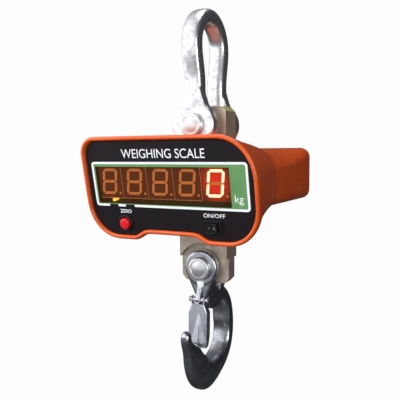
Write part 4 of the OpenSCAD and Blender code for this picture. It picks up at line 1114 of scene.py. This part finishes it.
def hook_widths(a):
    """Half width at the inner and the outer face on the ray at angle a."""
    inner = (HOOK_W / 2 - (HOOK_W - SHANK_W) / 2 * ease((-30 - a) / 40)
             - (HOOK_W / 2 - TIP_R + 0.6) * ease((a - 150) / 44))
    outer = (HOOK_RIM_W / 2 + (SHANK_W / 2 - HOOK_RIM_W / 2 - 1) * ease((10 - a) / 70)
             - (HOOK_RIM_W - TIP_RIM_W) / 2 * ease((a - 170) / 24))
    return inner, outer


angles = np.linspace(TIP_ANGLE, -88, 100)
inner_r, outer_r = hook_radii(angles)
inner_w, outer_w = hook_widths(angles)
k = np.linspace(0, 2 * np.pi, 48, endpoint=False)
u = signed_power(np.cos(k), HOOK_POWER)
half_width = inner_w[:, None] + (outer_w - inner_w)[:, None] * (u + 1) / 2
radius = ((inner_r + outer_r) / 2)[:, None] + ((outer_r - inner_r) / 2)[:, None] * u
ray = np.radians(angles)[:, None]
hook_body = loft("hook", np.stack([half_width * signed_power(np.sin(k), HOOK_POWER),
                                   radius * np.cos(ray), bowl_z - radius * np.sin(ray)], -1))
tip_mid, tip_turn = (inner_r[0] + outer_r[0]) / 2, math.radians(TIP_ANGLE)
tip_at = np.array([0, tip_mid * math.cos(tip_turn), bowl_z - tip_mid * math.sin(tip_turn)])
ball_turn = np.radians(np.linspace(-90, 90, 25))
ball = revolve("ball", np.stack([TIP_R * np.cos(ball_turn), TIP_R * np.sin(ball_turn)], -1), tip_at,
               [0, 0, 1], [1, 0, 0], 48)
TONGUE_W, TONGUE_R, NECK_IN = 7.0, 4.2, 0.4
lumps = [hook_body, ball]
neck_x, neck_z, foot_z = EAR_R * 0.97, hook_z - EAR_R * 0.25, crotch_z - BLOCK_LOW / 2
for y0, y1, foot_x in ((-EAR_OUT, -EAR_IN, TONGUE_W / 2 + 2), (EAR_IN, EAR_OUT, SHANK_W / 2 - 1)):
    lumps.append(disc_y(EAR_R, y0, y1, hook_z))
    lumps.append(prism([[-neck_x, neck_z], [neck_x, neck_z], [foot_x, foot_z], [-foot_x, foot_z]],
                       ALONG_Y, y0 + NECK_IN, y1 - NECK_IN))
block = [[-EAR_IN - 5, crotch_z], [EAR_IN, crotch_z], [EAR_OUT, crotch_z - 1], [EAR_OUT + 6, crotch_z - 17],
         [EAR_IN, crotch_z - BLOCK_LOW], [-EAR_IN + 2, crotch_z - BLOCK_LOW], [-EAR_IN - 7, foot_z]]
lumps.append(prism(block, ALONG_X, -SHANK_W / 2 + 1, SHANK_W / 2 - 1))
tongue = [[latch_y - TONGUE_R, latch_z], [latch_y + TONGUE_R, latch_z], [-EAR_IN - 4, crotch_z - 6],
          [-EAR_IN - 4, crotch_z + 8], [-EAR_OUT, crotch_z + 8]]
lumps.append(prism(tongue, ALONG_X, -TONGUE_W / 2, TONGUE_W / 2))
lumps.append(turned_on_latch_axis("boss", rod(TONGUE_R, -TONGUE_W / 2, TONGUE_W / 2), 48))
LATCH_HOLE_R = 2.1
hook_bore = turned_y("bore", rod(HOOK_BORE_R, -HOOK_DRILL, HOOK_DRILL), hook_z)
pin_hole = turned_on_latch_axis("hole", rod(LATCH_HOLE_R, -LATCH_DRILL, LATCH_DRILL), 32)
forging = cut(forged(join("hook", lumps), voxel=1.0, smoothing=6), hook_bore, pin_hole)
piece("hook_forged", forging, zinc_hook, "hook", ["hook_forging"], smooth=40)

# %% [markdown]
# ## The latch
# The safety latch is pressed from zinc-plated sheet: a web with a stiffening ridge, two flanges folded
# back from it, and narrower tabs that hold the pin. It is one sheet here too, a grid whose rows run
# down the latch and whose columns run from the edge of one flange round the web to the other. The web's
# faces between the tabs are left out, and Solidify gives the sheet its thickness, inwards. The coils of
# its spring stay on the hook, and the two legs ride on the latch, so that they follow it as it opens.

# %% Latch sheet
LATCH_TIP, LATCH_LEN, LATCH_HALF, TAB_HALF_W = math.radians(3), 58.0, 12.7, 8.9
SHEET, BEND, WEB_FRONT = 1.5, 2.0, -2.8
TAB_R, WEB_TOP, SHOULDER_LOW = 4.4, -5.0, -15.0
TAPER_START, FLANGE_BACK, END_BACK = -44.0, 6.2, 2.2
RIDGE_TOP, RIDGE_LOW, RIDGE_RISE, RIDGE_HALF = -15.0, -52.0, 3.0, 10.5

depth = np.concatenate([TAB_R * np.sin(np.radians(np.linspace(88, 0, 8))), np.linspace(-1, WEB_TOP, 5),
                        np.linspace(-6, SHOULDER_LOW, 10), np.linspace(-16, TAPER_START, 30),
                        np.linspace(TAPER_START - 1, -LATCH_LEN, 14)])
half_w = np.interp(-depth, [6, 15, LATCH_LEN - 3, LATCH_LEN],
                   [TAB_HALF_W, LATCH_HALF, LATCH_HALF, LATCH_HALF - 1.2])
back = np.interp(-depth, [6, 15, -TAPER_START, LATCH_LEN], [TAB_R, FLANGE_BACK, FLANGE_BACK, END_BACK])
round_top = np.sqrt(np.maximum(TAB_R ** 2 - np.maximum(depth, 0) ** 2, 0.01))
back = np.where(depth > 0, round_top, back)
front = np.where(depth > WEB_TOP, np.maximum(-round_top, WEB_FRONT), WEB_FRONT + BEND)
FLANGE_STEPS, BEND_STEPS, WEB_STEPS = 6, 6, 33
share = np.linspace(1, 0, FLANGE_STEPS)[None, :]
flange_y = front[:, None] + (back - front)[:, None] * share
flange_x = np.broadcast_to(half_w[:, None], flange_y.shape)
turn = np.radians(np.linspace(0, 90, BEND_STEPS))[None, 1:-1]
bend_x = (half_w - BEND)[:, None] + BEND * np.cos(turn)
bend_y = np.broadcast_to(WEB_FRONT + BEND - BEND * np.sin(turn), bend_x.shape)
across = np.linspace(1, -1, WEB_STEPS)[None, :]
web_x = (half_w - BEND)[:, None] * across
ridge = np.clip((RIDGE_TOP - depth) / (RIDGE_TOP - RIDGE_LOW), 0.001, 1)[:, None]
fade = ease((depth + LATCH_LEN - 1) / 5)[:, None]
web_y = WEB_FRONT - RIDGE_RISE * ridge * fade * np.clip(1 - np.abs(web_x - 1.5) / (RIDGE_HALF * ridge), 0, 1)
sheet_x = np.concatenate([flange_x, bend_x, web_x, -bend_x[:, ::-1], -flange_x[:, ::-1]], 1)
sheet_y = np.concatenate([flange_y, bend_y, web_y, bend_y[:, ::-1], flange_y[:, ::-1]], 1)
sheet_z = np.broadcast_to(depth[:, None], sheet_x.shape)
c, s = math.cos(LATCH_TIP), math.sin(LATCH_TIP)
sheet_points = np.stack([sheet_x, latch_y + sheet_y * c + sheet_z * s,
                         latch_z - sheet_y * s + sheet_z * c], -1)
rows_n, cols_n = sheet_x.shape
quads = grid_quads(rows_n, cols_n, close_columns=False)
row_of, col_of = quads[:, 0] // cols_n, quads[:, 0] % cols_n
in_web = (col_of >= FLANGE_STEPS - 1) & (col_of < cols_n - FLANGE_STEPS)
quads = quads[~(in_web & (depth[row_of] > WEB_TOP + 0.01))]
sheet = bpy.data.meshes.new("sheet")
sheet.from_pydata(sheet_points.reshape(-1, 3) * MM, [], quads.tolist())
web_face = max(sheet.polygons, key=lambda p: -p.center.y)
if web_face.normal.y > 0:
    sheet.flip_normals()
sheet = modified(sheet, [("SOLIDIFY", {"thickness": SHEET * MM, "offset": -1.0, "use_even_offset": True})])
piece("latch_pressing", sheet, zinc_latch, "latch", ["latch_plate"], smooth=30)

# %% Latch pin and spring
pin_low, pin_high = corners("latch_pin")
RIVET_R, RIVET_T, LATCH_PIN_R = 3.2, 2.2, 2.0
dome = [(RIVET_R * math.cos(a), RIVET_T * math.sin(a)) for a in np.radians(np.linspace(0, 90, 8))]
x0, x1 = pin_low[0] + RIVET_T, pin_high[0] - RIVET_T
rivet = turned_on_latch_axis("rivet", [
    *[(r, x0 - h) for r, h in dome[::-1]], (LATCH_PIN_R, x0), (LATCH_PIN_R, x1),
    *[(r, x1 + h) for r, h in dome]], 40)
piece("latch_rivet", rivet, zinc_bolt, body_with("latch_pin"), ["latch_pin"], smooth=50)

WIRE, COIL_R, COIL_IN, COIL_OUT, COIL_TURNS = 0.5, 2.75, 4.4, 6.6, 2.5
coil_t = np.linspace(0, 1, 60)
coil_a = 2 * np.pi * COIL_TURNS * coil_t + np.pi
coil = np.stack([COIL_IN + (COIL_OUT - COIL_IN) * coil_t, COIL_R * np.cos(coil_a),
                 -COIL_R * np.sin(coil_a)], -1)
LEG_END_Y, LEG_LOW = 0.6, -13.0
leg_y = [COIL_R, COIL_R, *np.linspace(COIL_R, LEG_END_Y, 6)]
leg = np.stack([np.full(8, COIL_OUT), leg_y, [0, -1, *np.linspace(-2, LEG_LOW, 6)]], -1)
bridge = np.array([[0, -5.3, -2.6], [1.6, -5.2, -2.4], [3.0, -4.6, -1.6], [4.0, -3.6, -0.6]])
right = np.concatenate([bridge, coil])
latch_axis = np.array([0, latch_y, latch_z])
coils = tube("spring", np.concatenate([right[:0:-1] * [-1, 1, 1], right]) + latch_axis, WIRE, 10)
piece("latch_torsion_spring", coils, zinc_bolt, body_with("latch_spring"), ["latch_spring"],
      smooth=60)
for side, sign in (("right", 1), ("left", -1)):
    leg_mesh = tube("spring_leg", leg[::sign] * [sign, 1, 1] + latch_axis, WIRE, 10)
    piece("latch_spring_leg_" + side, leg_mesh, zinc_bolt, "latch", smooth=60)

# %% [markdown]
# ## The charging connector
# The battery is charged through a round threaded connector on the rear cover. Its thread is a real
# helix: the radius of the barrel at height y and angle a falls by a triangle wave of y/pitch - a/2pi.

# %% Charging connector
socket_back = corners("charge_socket")[1][1]
socket_x, socket_z = centre("charge_socket")[[0, 2]]
cover_back = corners("rear_cover")[1][1]
BARREL_R, THREAD_PITCH, THREAD_DEPTH, WELL_R, COLLAR_R = 7.9, 1.5, 0.5, 6.0, 9.5
heights = np.linspace(cover_back + 2, socket_back - 0.6, 64)
around = np.linspace(0, 2 * np.pi, 72, endpoint=False)
wave = np.abs(2 * np.mod(heights[:, None] / THREAD_PITCH - around / (2 * np.pi), 1) - 1)
radii = [np.full_like(around, r) for r in (6.8, COLLAR_R - 0.4, COLLAR_R, COLLAR_R, COLLAR_R - 0.5)]
levels = [cover_back - 3, cover_back, cover_back + 0.3, cover_back + 1.5, cover_back + 2]
radii += list(BARREL_R - THREAD_DEPTH * wave) + [np.full_like(around, r) for r in (7.2, WELL_R, WELL_R)]
levels += list(heights) + [socket_back, socket_back, cover_back + 4]
barrel = loft("barrel", [np.stack([socket_x + r * np.cos(around), np.full_like(around, y),
                                   socket_z + r * np.sin(around)], -1) for r, y in zip(radii, levels)])
pins = [revolve("contact", [(0, 0), (0.8, 0), (0.8, 4), (0.4, 4.8), (0, 4.8)],
                [socket_x + 2.8 * math.cos(a), cover_back + 3.5, socket_z + 2.8 * math.sin(a)],
                [0, 1, 0], [1, 0, 0], 20) for a in np.radians([45, 135, 225, 315])]
piece("charging_connector", join("socket", [barrel, *pins]), zinc_bolt, "scale_body", ["charge_socket"],
      smooth=35)

# %% [markdown]
# ## Floor
# A hanging scale stands on nothing, so the studio floor lies well below it. It is white to the camera
# and dark to every other ray, so that it throws little light up at the hook.

# %% Floor
FLOOR_DROP, FLOOR_R = 1.25, 6.0
bpy.ops.mesh.primitive_circle_add(vertices=96, radius=FLOOR_R, fill_type="NGON", location=(0, 0, -FLOOR_DROP))
floor = bpy.context.object
floor.name = "studio_floor"
paper_floor = bpy.data.materials.new("white_paper")
paper_floor.use_nodes = True
tree = paper_floor.node_tree
tree.nodes.clear()
white = add_node(tree, "ShaderNodeEmission", {"Color": linear("#FDFDFD"), "Strength": 1.0})
dim = add_node(tree, "ShaderNodeBsdfDiffuse", {"Color": linear("#3C3C3E")})
seen = add_node(tree, "ShaderNodeLightPath").outputs["Is Camera Ray"]
add_node(tree, "ShaderNodeOutputMaterial", {"Surface": add_node(
    tree, "ShaderNodeMixShader", {0: seen, 1: dim.outputs[0], 2: white.outputs[0]}).outputs[0]})
floor.data.materials.append(paper_floor)
